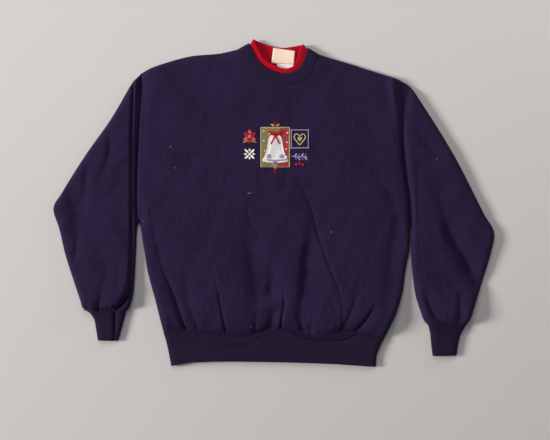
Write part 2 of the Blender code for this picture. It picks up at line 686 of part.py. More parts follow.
def collar_grid(edges, front_level, back_level, inset, turn, ribs):
    """Rings of a collar, each round the front from the right shoulder and back again.

    edges has a pair of lines for each ring, its front and its back, and inset says how
    far each ring's tips stand in from those lines.
    """
    front_share = np.linspace(0, 1, 2 * ribs + 1)
    back_share = np.linspace(1, 0, COLLAR_BACK_SPANS + 1)[1:-1]
    rings = []
    for (front, back), indent in zip(edges, inset):
        ring = np.concatenate((front(front_share), back(back_share)))
        for tip, inwards in zip((ring[0], ring[2 * ribs]), TIP_INWARDS):
            near = nearness(ring, (tip,), TIP_REACH)
            ring = ring + indent * near[:, None] * np.array(inwards)
        away = np.minimum(np.linalg.norm(ring - ring[0], axis=1),
                          np.linalg.norm(ring - ring[2 * ribs], axis=1))
        round_turn = turned(away, turn)
        is_front = np.arange(len(ring)) <= 2 * ribs
        level = np.where(is_front, front_level, back_level)
        z = COLLAR_EDGE + (level - COLLAR_EDGE) * round_turn
        rings.append(np.concatenate((ring, z[:, None]), axis=1))
    grid = np.array(rings)
    raised = np.zeros(grid.shape[:2])
    raised[1:, 1:2 * ribs:2] = RIB_RAISE
    return grid, raised


def between(first, second, share):
    """The line between two lines read at the same shares."""
    return lambda s: (1 - share) * first(s) + share * second(s)


def edge_pair(place):
    """The front and the back line of the neck for one column of its tables."""
    return neck_line(FRONT_NECK, place), neck_line(BACK_NECK, place)


def pair_between(first, second, share):
    return tuple(between(one, other, share) for one, other in zip(first, second))


def neck_line(rows, place):
    points = [getattr(row, place) for row in rows]
    return lambda s: smooth(points, s)


def make_navy_collar(front_seam, back_seam):
    front_start = set_off(front_seam, SEAM_GAP, (10, 400))
    back_start = set_off(back_seam, SEAM_GAP, (10, 400))
    front_start[0] = back_start[0] = (front_start[0] + back_start[0]) / 2 + np.array((SEAM_GAP, 0))
    front_start[-1] = back_start[-1] = (front_start[-1] + back_start[-1]) / 2 - np.array((SEAM_GAP, 0))
    seams = (lambda s: straight(front_start, s), lambda s: straight(back_start, s))
    tops = edge_pair("navy")
    rings = (seams, pair_between(seams, tops, COLLAR_FOOT), pair_between(seams, tops, COLLAR_MIDDLE), tops)
    return collar_grid(rings, COLLAR, 0.0, (0, 0, 0, 0), COLLAR_TURN, rib_count(front_start))


def make_red_collar():
    cloth = FLEECE + SEAM_GAP + COLLAR_APART
    under = cloth + RIB_RAISE
    seams = edge_pair("seam")
    navy = edge_pair("navy")
    red = edge_pair("red")
    rings = (pair_between(seams, navy, RED_FOOT), navy, pair_between(navy, red, RED_LEAVING), red)
    inset = (under + SEAM_GAP, under + SEAM_GAP, under + SEAM_GAP, SEAM_GAP)
    ribs = rib_count(red[0](np.linspace(0, 1, 30)))
    return collar_grid(rings, COLLAR - under, cloth, inset, COLLAR_TURN - under, ribs)


# ---- labels and the stitched panel ----

def flat_patch(corners, spans):
    """A grid of plan points between four corners."""
    across, down = spans
    low_left, low_right, high_right, high_left = (np.array(corner, float) for corner in corners)
    rows = []
    for v in np.linspace(0, 1, down + 1):
        start = (1 - v) * low_left + v * high_left
        end = (1 - v) * low_right + v * high_right
        rows.append([(1 - u) * start + u * end for u in np.linspace(0, 1, across + 1)])
    return np.array(rows)


def label_grid(corners, lift, curl):
    """A label's upper side, a little curled across its width."""
    plan = flat_patch(corners, LABEL_SPANS)
    across = np.linspace(-1, 1, plan.shape[1])[None, :, None]
    z = np.full(plan.shape[:2] + (1,), lift + LABEL_CLOTH) + curl * across**2
    return np.concatenate((plan, z), axis=-1)


def on_front(front, corners, lift):
    """Points that lie the lift above the highest cloth near them, for a piece sewn on the front."""
    points = [tuple(point) for point in front.reshape(-1, 3)]
    surface = BVHTree.FromPolygons(points, face_list(front.shape[0], front.shape[1], False, True))
    plan = flat_patch(corners, PANEL_SPANS)
    heights = []
    for point in plan.reshape(-1, 2):
        hits = [surface.ray_cast((*(point + step), ABOVE_ALL), (0, 0, -1))[0] for step in PANEL_STEPS]
        heights.append(max(hit.z for hit in hits) + lift)
    return np.concatenate((plan, np.array(heights).reshape(plan.shape[:2] + (1,))), axis=-1)


def centred(grids):
    """Moves every grid so that the whole garment's box is centred on the origin."""
    low = np.min([grid.reshape(-1, 3).min(axis=0) for grid in grids.values()], axis=0)
    high = np.max([grid.reshape(-1, 3).max(axis=0) for grid in grids.values()], axis=0)
    shift = -(low + high) / 2
    shift[2] = 0
    return {name: grid + shift for name, grid in grids.items()}


def neck_columns(shoulder_spans, neck_spans):
    """Which columns of a body panel's grid lie along its neck seam."""
    first = len(TURN_UP) - 1 + shoulder_spans
    return slice(first, first + neck_spans + 2 * len(NECK_CORNER) + 1)


def main():
    for thing in list(bpy.data.objects):
        bpy.data.objects.remove(thing, do_unlink=True)
    sweater = bpy.data.collections.new("christmas_sweater")
    bpy.context.scene.collection.children.link(sweater)

    front, low_rows = make_front()
    back, _ = make_back()
    neck = neck_columns(SHOULDER_SPANS, NECK_SPANS)
    back_neck = neck_columns(BACK_SHOULDER_SPANS, BACK_NECK_SPANS)
    right_sleeve, _ = sleeve_grid(RIGHT_SLEEVE, front[low_rows:, 0], RIGHT_SLEEVE_FOLDS)
    left_sleeve, _ = sleeve_grid(LEFT_SLEEVE, front[low_rows:, -1], LEFT_SLEEVE_FOLDS)

    waistband, waist_ribs = band_grid(BAND_SIDES, set_off(front[0], SEAM_GAP, BAND_EDGE[0], BAND_END_GAP),
                                      set_off(back[0], SEAM_GAP, BAND_EDGE[0], BAND_END_GAP),
                                      BAND_EDGE, np.array(WAISTBAND_ROWS))
    cuffs = {}
    for name, table in (("right_cuff", RIGHT_CUFF), ("left_cuff", LEFT_CUFF)):
        seam = set_off((table[0].left, table[0].right), CUFF_GAP, table[-1].left)
        edge = np.array([table[-1].left, table[-1].right], float)
        cuffs[name] = band_grid(table, seam, seam, edge, np.array(CUFF_ROWS))
    navy, navy_ribs = make_navy_collar(front[-1, neck], back[-1, back_neck])
    red, red_ribs = make_red_collar()

    walls = {
        "front": thinned(front),
        "back": thinned(back),
        "right_sleeve": thinned(right_sleeve),
        "left_sleeve": thinned(left_sleeve),
    }
    waistband, walls["waistband"] = ribbed(waistband, waist_ribs, False)
    right_cuff, walls["right_cuff"] = ribbed(*cuffs["right_cuff"], False)
    left_cuff, walls["left_cuff"] = ribbed(*cuffs["left_cuff"], False)
    navy, walls["outer_collar"] = ribbed(navy, navy_ribs, True)
    red, walls["inner_collar"] = ribbed(red, red_ribs, True)
    grids = centred({
        "front": front,
        "back": back,
        "right_sleeve": right_sleeve,
        "left_sleeve": left_sleeve,
        "waistband": waistband,
        "right_cuff": right_cuff,
        "left_cuff": left_cuff,
        "outer_collar": navy,
        "inner_collar": red,
        "neck_label": label_grid(NECK_LABEL, LABEL_LIFT + LABEL_CLOTH + LABELS_APART, LABEL_CURL),
        "size_label": label_grid(SIZE_LABEL, LABEL_LIFT, SIZE_LABEL_CURL),
        "embroidered_panel": on_front(front, STITCHED_PANEL, PANEL_APART + EMBROIDERY),
    })
    pieces = (
        cloth_wall("front", grids["front"], NAVY_FLEECE, walls["front"]),
        cloth_wall("back", grids["back"], NAVY_FLEECE, walls["back"], upwards=False),
        cloth_wall("right_sleeve", grids["right_sleeve"], NAVY_FLEECE, walls["right_sleeve"], True, False),
        cloth_wall("left_sleeve", grids["left_sleeve"], NAVY_FLEECE, walls["left_sleeve"], True),
        cloth_wall("waistband", grids["waistband"], NAVY_RIB, walls["waistband"], True, False),
        cloth_wall("right_cuff", grids["right_cuff"], NAVY_RIB, walls["right_cuff"], True, False),
        cloth_wall("left_cuff", grids["left_cuff"], NAVY_RIB, walls["left_cuff"], True, False),
        cloth_wall("outer_collar", grids["outer_collar"], NAVY_RIB, walls["outer_collar"], True),
        cloth_wall("inner_collar", grids["inner_collar"], RED_RIB, walls["inner_collar"], True),
        cloth_wall("neck_label", grids["neck_label"], CREAM_LABEL, LABEL_CLOTH),
        cloth_wall("size_label", grids["size_label"], WHITE_LABEL, LABEL_CLOTH),
        cloth_wall("embroidered_panel", grids["embroidered_panel"], STITCHES, EMBROIDERY),
    )
    for piece in pieces:
        sweater.objects.link(piece)


main()
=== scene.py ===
# %% [markdown]
# # A Christmas sweatshirt, laid flat
# A sweatshirt is cut from fleece-backed jersey and finished with knitted ribs. This
# lesson builds its cloth in Blender: each cut piece is a surface worked out from the
# garment's own measurements, sunk where it creases, and given a thin wall. What repeats,
# such as ribs, stitches and embroidery threads, is made by Geometry Nodes.
#
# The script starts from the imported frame, which holds every piece as a plain solid in
# its place. The finished cloth takes over from those solids one by one.

from collections import namedtuple

import bpy
import numpy as np
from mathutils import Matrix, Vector


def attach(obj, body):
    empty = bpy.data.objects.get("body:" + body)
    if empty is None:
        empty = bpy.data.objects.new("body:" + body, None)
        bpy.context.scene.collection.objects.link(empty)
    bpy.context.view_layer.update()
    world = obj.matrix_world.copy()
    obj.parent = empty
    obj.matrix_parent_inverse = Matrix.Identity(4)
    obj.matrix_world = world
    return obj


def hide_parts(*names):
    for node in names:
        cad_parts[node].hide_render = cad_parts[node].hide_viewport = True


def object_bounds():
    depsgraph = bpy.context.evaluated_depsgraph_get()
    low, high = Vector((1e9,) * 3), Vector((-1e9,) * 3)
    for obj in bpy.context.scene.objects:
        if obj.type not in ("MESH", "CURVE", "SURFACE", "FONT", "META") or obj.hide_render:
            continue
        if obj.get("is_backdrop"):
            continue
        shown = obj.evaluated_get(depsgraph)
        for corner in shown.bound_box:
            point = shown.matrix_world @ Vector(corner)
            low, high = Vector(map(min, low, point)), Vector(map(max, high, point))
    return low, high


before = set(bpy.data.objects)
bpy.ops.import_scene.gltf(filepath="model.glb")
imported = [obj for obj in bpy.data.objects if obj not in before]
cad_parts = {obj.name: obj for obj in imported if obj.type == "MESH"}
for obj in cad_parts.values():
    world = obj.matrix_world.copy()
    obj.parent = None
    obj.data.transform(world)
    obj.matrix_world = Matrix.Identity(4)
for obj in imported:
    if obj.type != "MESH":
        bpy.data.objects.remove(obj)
cad_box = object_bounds()
print("solids:", ", ".join(sorted(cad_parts)))

# %% [markdown]
# ## The camera and the light
# The garment was photographed from straight above, so the camera looks down on the
# middle of the picture. One photo pixel is 2.12 mm on the cloth, and a longer lens keeps
# the perspective weak.
#
# Dark cloth only shows its form by its shading, so the key light stands low on the left
# and rakes over the folds. It stands far away, which lights the floor evenly. A small
# weak light on the right opens the deepest shadows a little, and one beyond the neck
# makes the picture fall off towards the hem. The sky is dim and slightly blue.

# %% Camera
MM = 0.001
PIXEL = 2.12                    # mm of cloth for each pixel of the photo
PHOTO = (550, 440)
CENTRE_PIXEL = (273.8, 203.4)   # where the garment's tables have their zero
SHIFT = (-0.242, -0.868, 0.0)   # from the tables to the frame, in mm
SENSOR = 36.0
LENS = 54.0
CLOTH_LEVEL = 8.0               # height of the cloth that the pixel scale holds for


def photo_place(pixel_x, pixel_y):
    """A photo pixel as a place in the tables, in mm."""
    return ((pixel_x - CENTRE_PIXEL[0]) * PIXEL, (CENTRE_PIXEL[1] - pixel_y) * PIXEL)


look_at = photo_place(PHOTO[0] / 2, PHOTO[1] / 2)
camera_data = bpy.data.cameras.new("camera")
camera_data.sensor_width = SENSOR
camera_data.lens = LENS
camera = bpy.data.objects.new("camera", camera_data)
bpy.context.scene.collection.objects.link(camera)
camera_height = PHOTO[0] * PIXEL * LENS / SENSOR + CLOTH_LEVEL
camera.location = ((look_at[0] + SHIFT[0]) * MM, (look_at[1] + SHIFT[1]) * MM, camera_height * MM)
bpy.context.scene.camera = camera
bpy.context.scene.view_settings.view_transform = "Standard"
print("camera height", round(camera_height), "mm")

# %% Lights
Light = namedtuple("Light", "name place size power colour")
LIGHTS = (
    Light("key_left", (-6.75, 0.2, 3.15), 1.8, 680.0, (1.0, 0.985, 0.965)),
    Light("low_right", (1.4, 1.05, 0.55), 0.35, 5.0, (1.0, 0.985, 0.975)),
    Light("high_top", (-0.4, 1.6, 1.9), 1.2, 19.0, (1.0, 0.985, 0.97)),
)

for light in LIGHTS:
    data = bpy.data.lights.new(light.name, "AREA")
    data.size = light.size
    data.energy = light.power
    data.color = light.colour
    lamp = bpy.data.objects.new(light.name, data)
    bpy.context.scene.collection.objects.link(lamp)
    lamp.location = light.place
    lamp.rotation_mode = "QUATERNION"
    lamp.rotation_quaternion = (-Vector(light.place)).to_track_quat("-Z", "Y")

SKY_COLOUR = (0.93, 0.94, 1.0, 1)
SKY_STRENGTH = 0.19
world = bpy.data.worlds.new("studio")
world.use_nodes = True
sky = world.node_tree.nodes["Background"]
sky.inputs["Color"].default_value = SKY_COLOUR
sky.inputs["Strength"].default_value = SKY_STRENGTH
bpy.context.scene.world = world
print("lights:", len(LIGHTS))

# %% [markdown]
# ## Helpers for node trees
# Materials and Geometry Nodes are both built from nodes, so one helper serves them: it
# adds a node, sets its properties, and either links an input or gives it a value. The
# others are built on it. Every finish here is two tones mixed by noise, with what is too
# fine to model as bump, so those steps are helpers too.

# %% Node helpers
def add_node(tree, kind, inputs=None, **settings):
    """A new node. Inputs are given by name or number, as a value or as another socket."""
    node = tree.nodes.new(kind)
    for name, value in settings.items():
        setattr(node, name, value)
    for name, value in (inputs or {}).items():
        if isinstance(value, bpy.types.NodeSocket):
            tree.links.new(value, node.inputs[name])
        else:
            node.inputs[name].default_value = value
    return node


def maths(tree, operation, first, second=0.0):
    return add_node(tree, "ShaderNodeMath", {0: first, 1: second}, operation=operation).outputs[0]


def noise(tree, place, scale, detail):
    values = {"Vector": place, "Scale": scale, "Detail": detail}
    return add_node(tree, "ShaderNodeTexNoise", values).outputs["Fac"]


def blend(tree, share, first, second):
    values = {"Factor": share, 6: (*first, 1), 7: (*second, 1)}
    return add_node(tree, "ShaderNodeMix", values, data_type="RGBA").outputs[2]


SPECULAR = 0.12             # cloth and paper have little shine


def add_material(name, roughness, sheen=0.0, sheen_tint=(1, 1, 1, 1)):
    """A material with its Principled shader; what is constant is set on the shader."""
    material = bpy.data.materials.new(name)
    material.use_nodes = True
    shader = material.node_tree.nodes["Principled BSDF"]
    for label, value in (("Roughness", roughness), ("Specular IOR Level", SPECULAR),
                         ("Sheen Weight", sheen), ("Sheen Roughness", 0.5), ("Sheen Tint", sheen_tint)):
        shader.inputs[label].default_value = value
    return material, material.node_tree, shader


def dress(tree, shader, colour, height, strength, depth):
    """Links a colour to the shader, and as its bump a height."""
    bump = add_node(tree, "ShaderNodeBump", {"Height": height, "Strength": strength, "Distance": depth})
    tree.links.new(colour, shader.inputs["Base Color"])
    tree.links.new(bump.outputs["Normal"], shader.inputs["Normal"])


# %% [markdown]
# ## Fleece jersey
# The face of sweatshirt fleece is a fine jersey knit: rows of small V-shaped loops, about
# 1.4 mm wide, under a haze of short brushed fibres. Modelling a million loops would be
# hopeless, so they are a bump pattern that follows the cloth by its UV map. Two noises
# on top give the haze and the slightly uneven dye. A little sheen stands for the fibres
# that catch light at grazing angles.

# %% Knitted cloth material
LOOP_ACROSS = 1.4 * MM
LOOP_ALONG = 1.1 * MM
LOOP_SHARE = 0.35           # of the bump's height
FIBRE_SHARE = 1.6


def knit_height(tree, place):
    """Height of the V-shaped loops of jersey, from a place on the cloth in metres."""
    parts = add_node(tree, "ShaderNodeSeparateXYZ", {"Vector": place})
    across = maths(tree, "DIVIDE", parts.outputs["X"], LOOP_ACROSS)
    along = maths(tree, "DIVIDE", parts.outputs["Y"], LOOP_ALONG)
    side = maths(tree, "PINGPONG", across, 0.5)
    slanted = maths(tree, "ADD", along, maths(tree, "MULTIPLY", side, 1.4))
    wave = maths(tree, "SINE", maths(tree, "MULTIPLY", slanted, 2 * np.pi))
    column = maths(tree, "SINE", maths(tree, "MULTIPLY", side, 2 * np.pi))
    return maths(tree, "ADD", maths(tree, "MULTIPLY", wave, 0.5), column)


def cloth_material(name, dark, light, haze=1.0, sheen=0.05, tint=(0.5, 0.4, 0.9, 1)):
    """Knitted cloth: loops and fibres as bump, and two tones of dye mixed by noise."""
    material, tree, shader = add_material(name, 0.95, sheen, tint)
    cloth_uv = add_node(tree, "ShaderNodeUVMap", uv_map="cloth").outputs["UV"]
    place = add_node(tree, "ShaderNodeTexCoord").outputs["Object"]
    loops = knit_height(tree, cloth_uv)
    fibres = noise(tree, place, 700.0, 3.0)
    dye = noise(tree, place, 130.0, 5.0)
    worn = noise(tree, place, 9.0, 3.0)
    tone = maths(tree, "ADD", maths(tree, "MULTIPLY", dye, 0.7), maths(tree, "MULTIPLY", worn, 0.3))
    tone = add_node(tree, "ShaderNodeMapRange",
                    {"Value": tone, "From Min": 0.3, "From Max": 0.7}).outputs["Result"]
    height = maths(tree, "ADD", maths(tree, "MULTIPLY", loops, LOOP_SHARE),
                   maths(tree, "MULTIPLY", fibres, FIBRE_SHARE * haze))
    dress(tree, shader, blend(tree, tone, dark, light), height, 0.55, 0.35 * MM)
    return material


navy_fleece = cloth_material("navy_fleece", (0.0152, 0.0083, 0.0325), (0.0218, 0.0121, 0.0445))
navy_rib = cloth_material("navy_rib", (0.0124, 0.0066, 0.0236), (0.0180, 0.0096, 0.0322), haze=0.6)
navy_collar = cloth_material("navy_collar", (0.0140, 0.0082, 0.0275), (0.0202, 0.0120, 0.0375),
                             haze=0.8)
red_rib = cloth_material("red_rib", (0.37, 0.002, 0.014), (0.52, 0.004, 0.026), haze=0.6,
                         sheen=0.03, tint=(1.0, 0.1, 0.2, 1))
print("cloth materials:", navy_fleece.name, navy_rib.name, red_rib.name)

# %% [markdown]
# ## The cut, as tables
# A pattern cutter describes a garment by the places that its edges pass through. These
# tables do the same, in millimetres, with right and left as the wearer's. The right
# sleeve therefore lies at the left of the picture. A smooth curve goes through each
# column of a table.

# %% Thicknesses and heights
FLEECE = 2.0                # wall of the body and the sleeves
RIB = 3.2                   # wall of the doubled ribs
EDGE = 5.0                  # height of the middle of a folded edge
LOWEST = 4.3                # below this the top wall would touch the one under it
LOWEST_RIB = 7.0            # the same for the doubled ribs
CHEST = 14.0
BODY_BLOUSE = 27.0          # where the body puffs out above the waistband
BODY_REACH = 34.0
ARMHOLE = 11.5
SLEEVE = 16.0
SLEEVE_BLOUSE = 27.0
SLEEVE_REACH = 27.0
BAND = 12.0
COLLAR = 17.0
COLLAR_EDGE = 8.5
TURN_UP = 14.0              # width over which the front turns down to a folded edge
TURN_DOWN = 10.0            # the same for the back, which turns up
COLLAR_TURN = 16.0
SEAM_FLAT = 3.0             # the strip beside a seam that lies level

# %% Body, sleeves, cuffs and neck
Section = namedtuple("Section", "place left right")
BODY = (
    Section("hem seam", (-234, -274), (235, -286)),
    Section("puff", (-240, -250), (256, -243)),
    Section("hip", (-252, -203), (272, -195)),
    Section("waist", (-267, -148), (280, -140)),
    Section("underarm", (-276, -95), (288.5, -95)),
    Section("armpit", (-285, -39), (291, -46)),
    Section("armhole foot", (-291, -16), (289, -5)),
    Section("armhole low", (-292, 40), (281, 60)),
    Section("armhole middle", (-289, 120), (274, 125)),
    Section("armhole high", (-283, 200), (268, 198)),
    Section("shoulder", (-282, 275), (263, 264)),
)
ARMPIT = 5                  # row of BODY where the side seam ends and the armhole starts

Sleeve = namedtuple("Sleeve", "place outer inner")
RIGHT_SLEEVE = (
    Sleeve("armhole", (-282, 275), (-285, -39)),
    Sleeve("beside the armhole", (-290, 267), (-289.5, -46)),
    Sleeve("cap", (-298, 259), (-291, -62)),
    Sleeve("upper arm", (-347, 177), (-292, -88)),
    Sleeve("above elbow", (-398, 105), (-293, -108)),
    Sleeve("elbow top", (-449, 24), (-294, -130)),
    Sleeve("elbow", (-467.5, -10), (-295, -148)),
    Sleeve("below elbow", (-455, -55), (-296, -165)),
    Sleeve("forearm", (-443, -107), (-297, -180)),
    Sleeve("low forearm", (-428, -154), (-299, -195)),
    Sleeve("puff", (-411, -203), (-303, -211)),
    Sleeve("tuck", (-404, -223), (-307, -222)),
    Sleeve("cuff seam", (-391, -232), (-313, -228)),
)
LEFT_SLEEVE = (
    Sleeve("armhole", (263, 264), (291, -46)),
    Sleeve("beside the armhole", (272, 259), (292.2, -54)),
    Sleeve("cap", (290, 247), (292.2, -75)),
    Sleeve("upper arm", (321, 202), (291, -97)),
    Sleeve("above elbow", (386, 96), (292.5, -125)),
    Sleeve("elbow top", (446, -22), (295, -152)),
    Sleeve("elbow", (468, -65), (298, -178)),
    Sleeve("below elbow", (460, -107), (301, -195)),
    Sleeve("forearm", (446, -154), (306, -213)),
    Sleeve("puff", (429, -209), (313, -233)),
    Sleeve("tuck", (416, -247), (320, -250)),
    Sleeve("cuff seam", (407, -261), (328, -258)),
)

RIGHT_CUFF = (
    Section("seam", (-391, -232), (-313, -228)),
    Section("narrowing", (-382, -245), (-318, -246)),
    Section("middle", (-378, -264), (-324, -268)),
    Section("free edge", (-374, -289), (-330, -290)),
)
LEFT_CUFF = (
    Section("seam", (328, -258), (407, -261)),
    Section("narrowing", (332, -276), (396, -280)),
    Section("middle", (334, -298), (391, -302)),
    Section("free edge", (337, -322), (388, -321)),
)
WAISTBAND = (
    Section("seam", (-234, -274), (235, -286)),
    Section("upper", (-230, -288), (226, -303)),
    Section("lower", (-225, -308), (219, -322)),
    Section("free edge", (-218, -344), (217, -345)),
)
HEM_SEAM = ((-234, -274), (-195, -271), (-133, -273), (-97, -275), (-44, -279), (-12, -271),
            (28, -268), (68, -277), (109, -279), (168, -273), (204, -279), (235, -286))
BAND_EDGE = ((-218, -344), (-201, -339), (-137, -334), (-42, -334), (60, -336), (134, -339),
             (217, -345))

Neck = namedtuple("Neck", "seam navy red")
FRONT_NECK = (
    Neck((-76, 327), (-54, 339), (-44, 347)),
    Neck((-65, 304), (-49, 328), (-38, 332)),
    Neck((-53, 282), (-43, 316), (-29, 316)),
    Neck((-38, 265), (-33, 299), (-19, 301)),
    Neck((-18, 255), (-18, 286), (-5, 293)),
    Neck((6, 250), (3, 277), (8, 287)),
    Neck((30, 249), (25, 273), (25, 283)),
    Neck((54, 255), (47, 279), (42, 289)),
    Neck((74, 268), (60, 292), (49, 303)),
    Neck((86, 290), (68, 311), (55, 322)),
    Neck((94, 317), (74, 329), (64, 336)),
)
BACK_NECK = (
    Neck((-76, 327), (-54, 339), (-44, 347)),
    Neck((-38, 301), (-25, 323), (-19, 337)),
    Neck((9, 290), (10, 316), (13, 329)),
    Neck((56, 296), (45, 320), (43, 332)),
    Neck((94, 317), (74, 329), (64, 336)),
)
RIGHT_SHOULDER = ((-282, 275), (-269, 283), (-224, 300), (-178, 312), (-110, 319), (-76, 327))
LEFT_SHOULDER = ((94, 317), (134, 304), (155, 298), (202, 283), (263, 264))
NECK_START = 0.37           # share of the panel's width where the neck begins
NECK_END = 0.67
TOP_FADE = 3                # power with which the neck's curve fades out down the body
NECK_LABEL = ((-5, 297), (43, 295), (45, 323), (-1, 330))
SIZE_LABEL = ((7, 279), (42, 278), (42, 300), (7, 300))
print("body sections:", len(BODY), "sleeve sections:", len(RIGHT_SLEEVE), len(LEFT_SLEEVE))

# %% [markdown]
# ## Curves and distances
# Everything below is worked out on whole arrays of points with numpy, which is far
# faster than moving Blender's vertices one by one. The curve goes through its points
# with slopes taken from their neighbours (a cubic Hermite curve).

# %% Curve helpers
EVENLY = np.linspace(0, 1, 60)  # shares at which a curve is read as a line


def through(knots, values, t):
    """A smooth curve through values at the knots, read at t."""
    knots = np.asarray(knots, float)
    values = np.asarray(values, float)
    slopes = np.gradient(values, knots, axis=0)
    t = np.clip(np.asarray(t, float), knots[0], knots[-1])
    span = np.clip(np.searchsorted(knots, t, side="right") - 1, 0, len(knots) - 2)
    step = (knots[span + 1] - knots[span])[..., None]
    s = (t - knots[span])[..., None] / step
    start = (2 * s**3 - 3 * s**2 + 1) * values[span] + (s**3 - 2 * s**2 + s) * step * slopes[span]
    end = (3 * s**2 - 2 * s**3) * values[span + 1] + (s**3 - s**2) * step * slopes[span + 1]
    return start + end


def steps(points):
    """How far it is from each point of a line to the next."""
    return np.linalg.norm(np.diff(np.asarray(points, float), axis=0), axis=1)


def lengths(points):
    """How far along its line each point lies, from 0 to 1."""
    sums = np.concatenate(([0.0], np.cumsum(steps(points))))
    return sums / sums[-1]


def smooth(points, t):
    return through(lengths(points), points, t)


def section_knots(table):
    return (lengths([row[1] for row in table]) + lengths([row[2] for row in table])) / 2


def side_line(table, side, t):
    return through(section_knots(table), [row[side] for row in table], t)


def neck_line(rows, place, t):
    return smooth([getattr(row, place) for row in rows], t)


def headings(line):
    """Unit steps along a line at each of its points, and the same turned to its left."""
    run = np.gradient(line, axis=0)
    run = run / np.linalg.norm(run, axis=1)[:, None]
    return run, np.stack((-run[:, 1], run[:, 0]), axis=1)


def heading(turn):
    """A unit step in plan, at an angle in radians."""
    return np.array((np.cos(turn), np.sin(turn)))


# %% Distance helpers
def distance(points, line):
    """Shortest plan distance from each of the points to a line."""
    points = np.asarray(points, float)[..., :2]
    line = np.asarray(line, float)[:, :2]
    nearest = np.full(points.shape[:-1], np.inf)
    for start, end in zip(line[:-1], line[1:]):
        run = end - start
        share = np.clip(((points - start) @ run) / max(run @ run, 1e-9), 0, 1)
        feet = start + share[..., None] * run
        nearest = np.minimum(nearest, np.linalg.norm(points - feet, axis=-1))
    return nearest


def ease(value, low, high):
    share = np.clip((value - low) / (high - low), 0, 1)
    return share * share * (3 - 2 * share)


def turned(away, turn):
    """How far a wall has turned round from a folded edge: 0 on it, 1 past the turn."""
    share = np.clip(away / turn, 0, 1)
    return np.sqrt(1 - (1 - share)**2)


def puff(away, reach):
    """The swelling of gathered cloth at a distance from its seam, 1 at its highest."""
    return (away / reach * np.exp(1 - away / reach))**1.5


def near(points, places, reach):
    away = [np.linalg.norm(points[..., :2] - np.array(place, float), axis=-1) for place in places]
    return np.exp(-(np.min(away, axis=0) / reach)**2)


def wander(points, size, seed):
    """A gentle uneven swelling between about -1 and 1, with waves of about the given size."""
    dice = np.random.RandomState(seed)
    total = np.zeros(points.shape[:-1])
    for _ in range(9):
        heading = dice.uniform(0, 2 * np.pi)
        wave = 2 * np.pi / (size * dice.uniform(0.7, 1.6))
        along = points[..., 0] * np.cos(heading) + points[..., 1] * np.sin(heading)
        total += np.sin(along * wave + dice.uniform(0, 2 * np.pi))
    return total / 4.2


def waves(points, table, seed=0):
    """Gentle waves of the cloth, from rows of how high, how wide, and which seed."""
    return sum(rise * wander(points, size, seed + more) for rise, size, more in table)
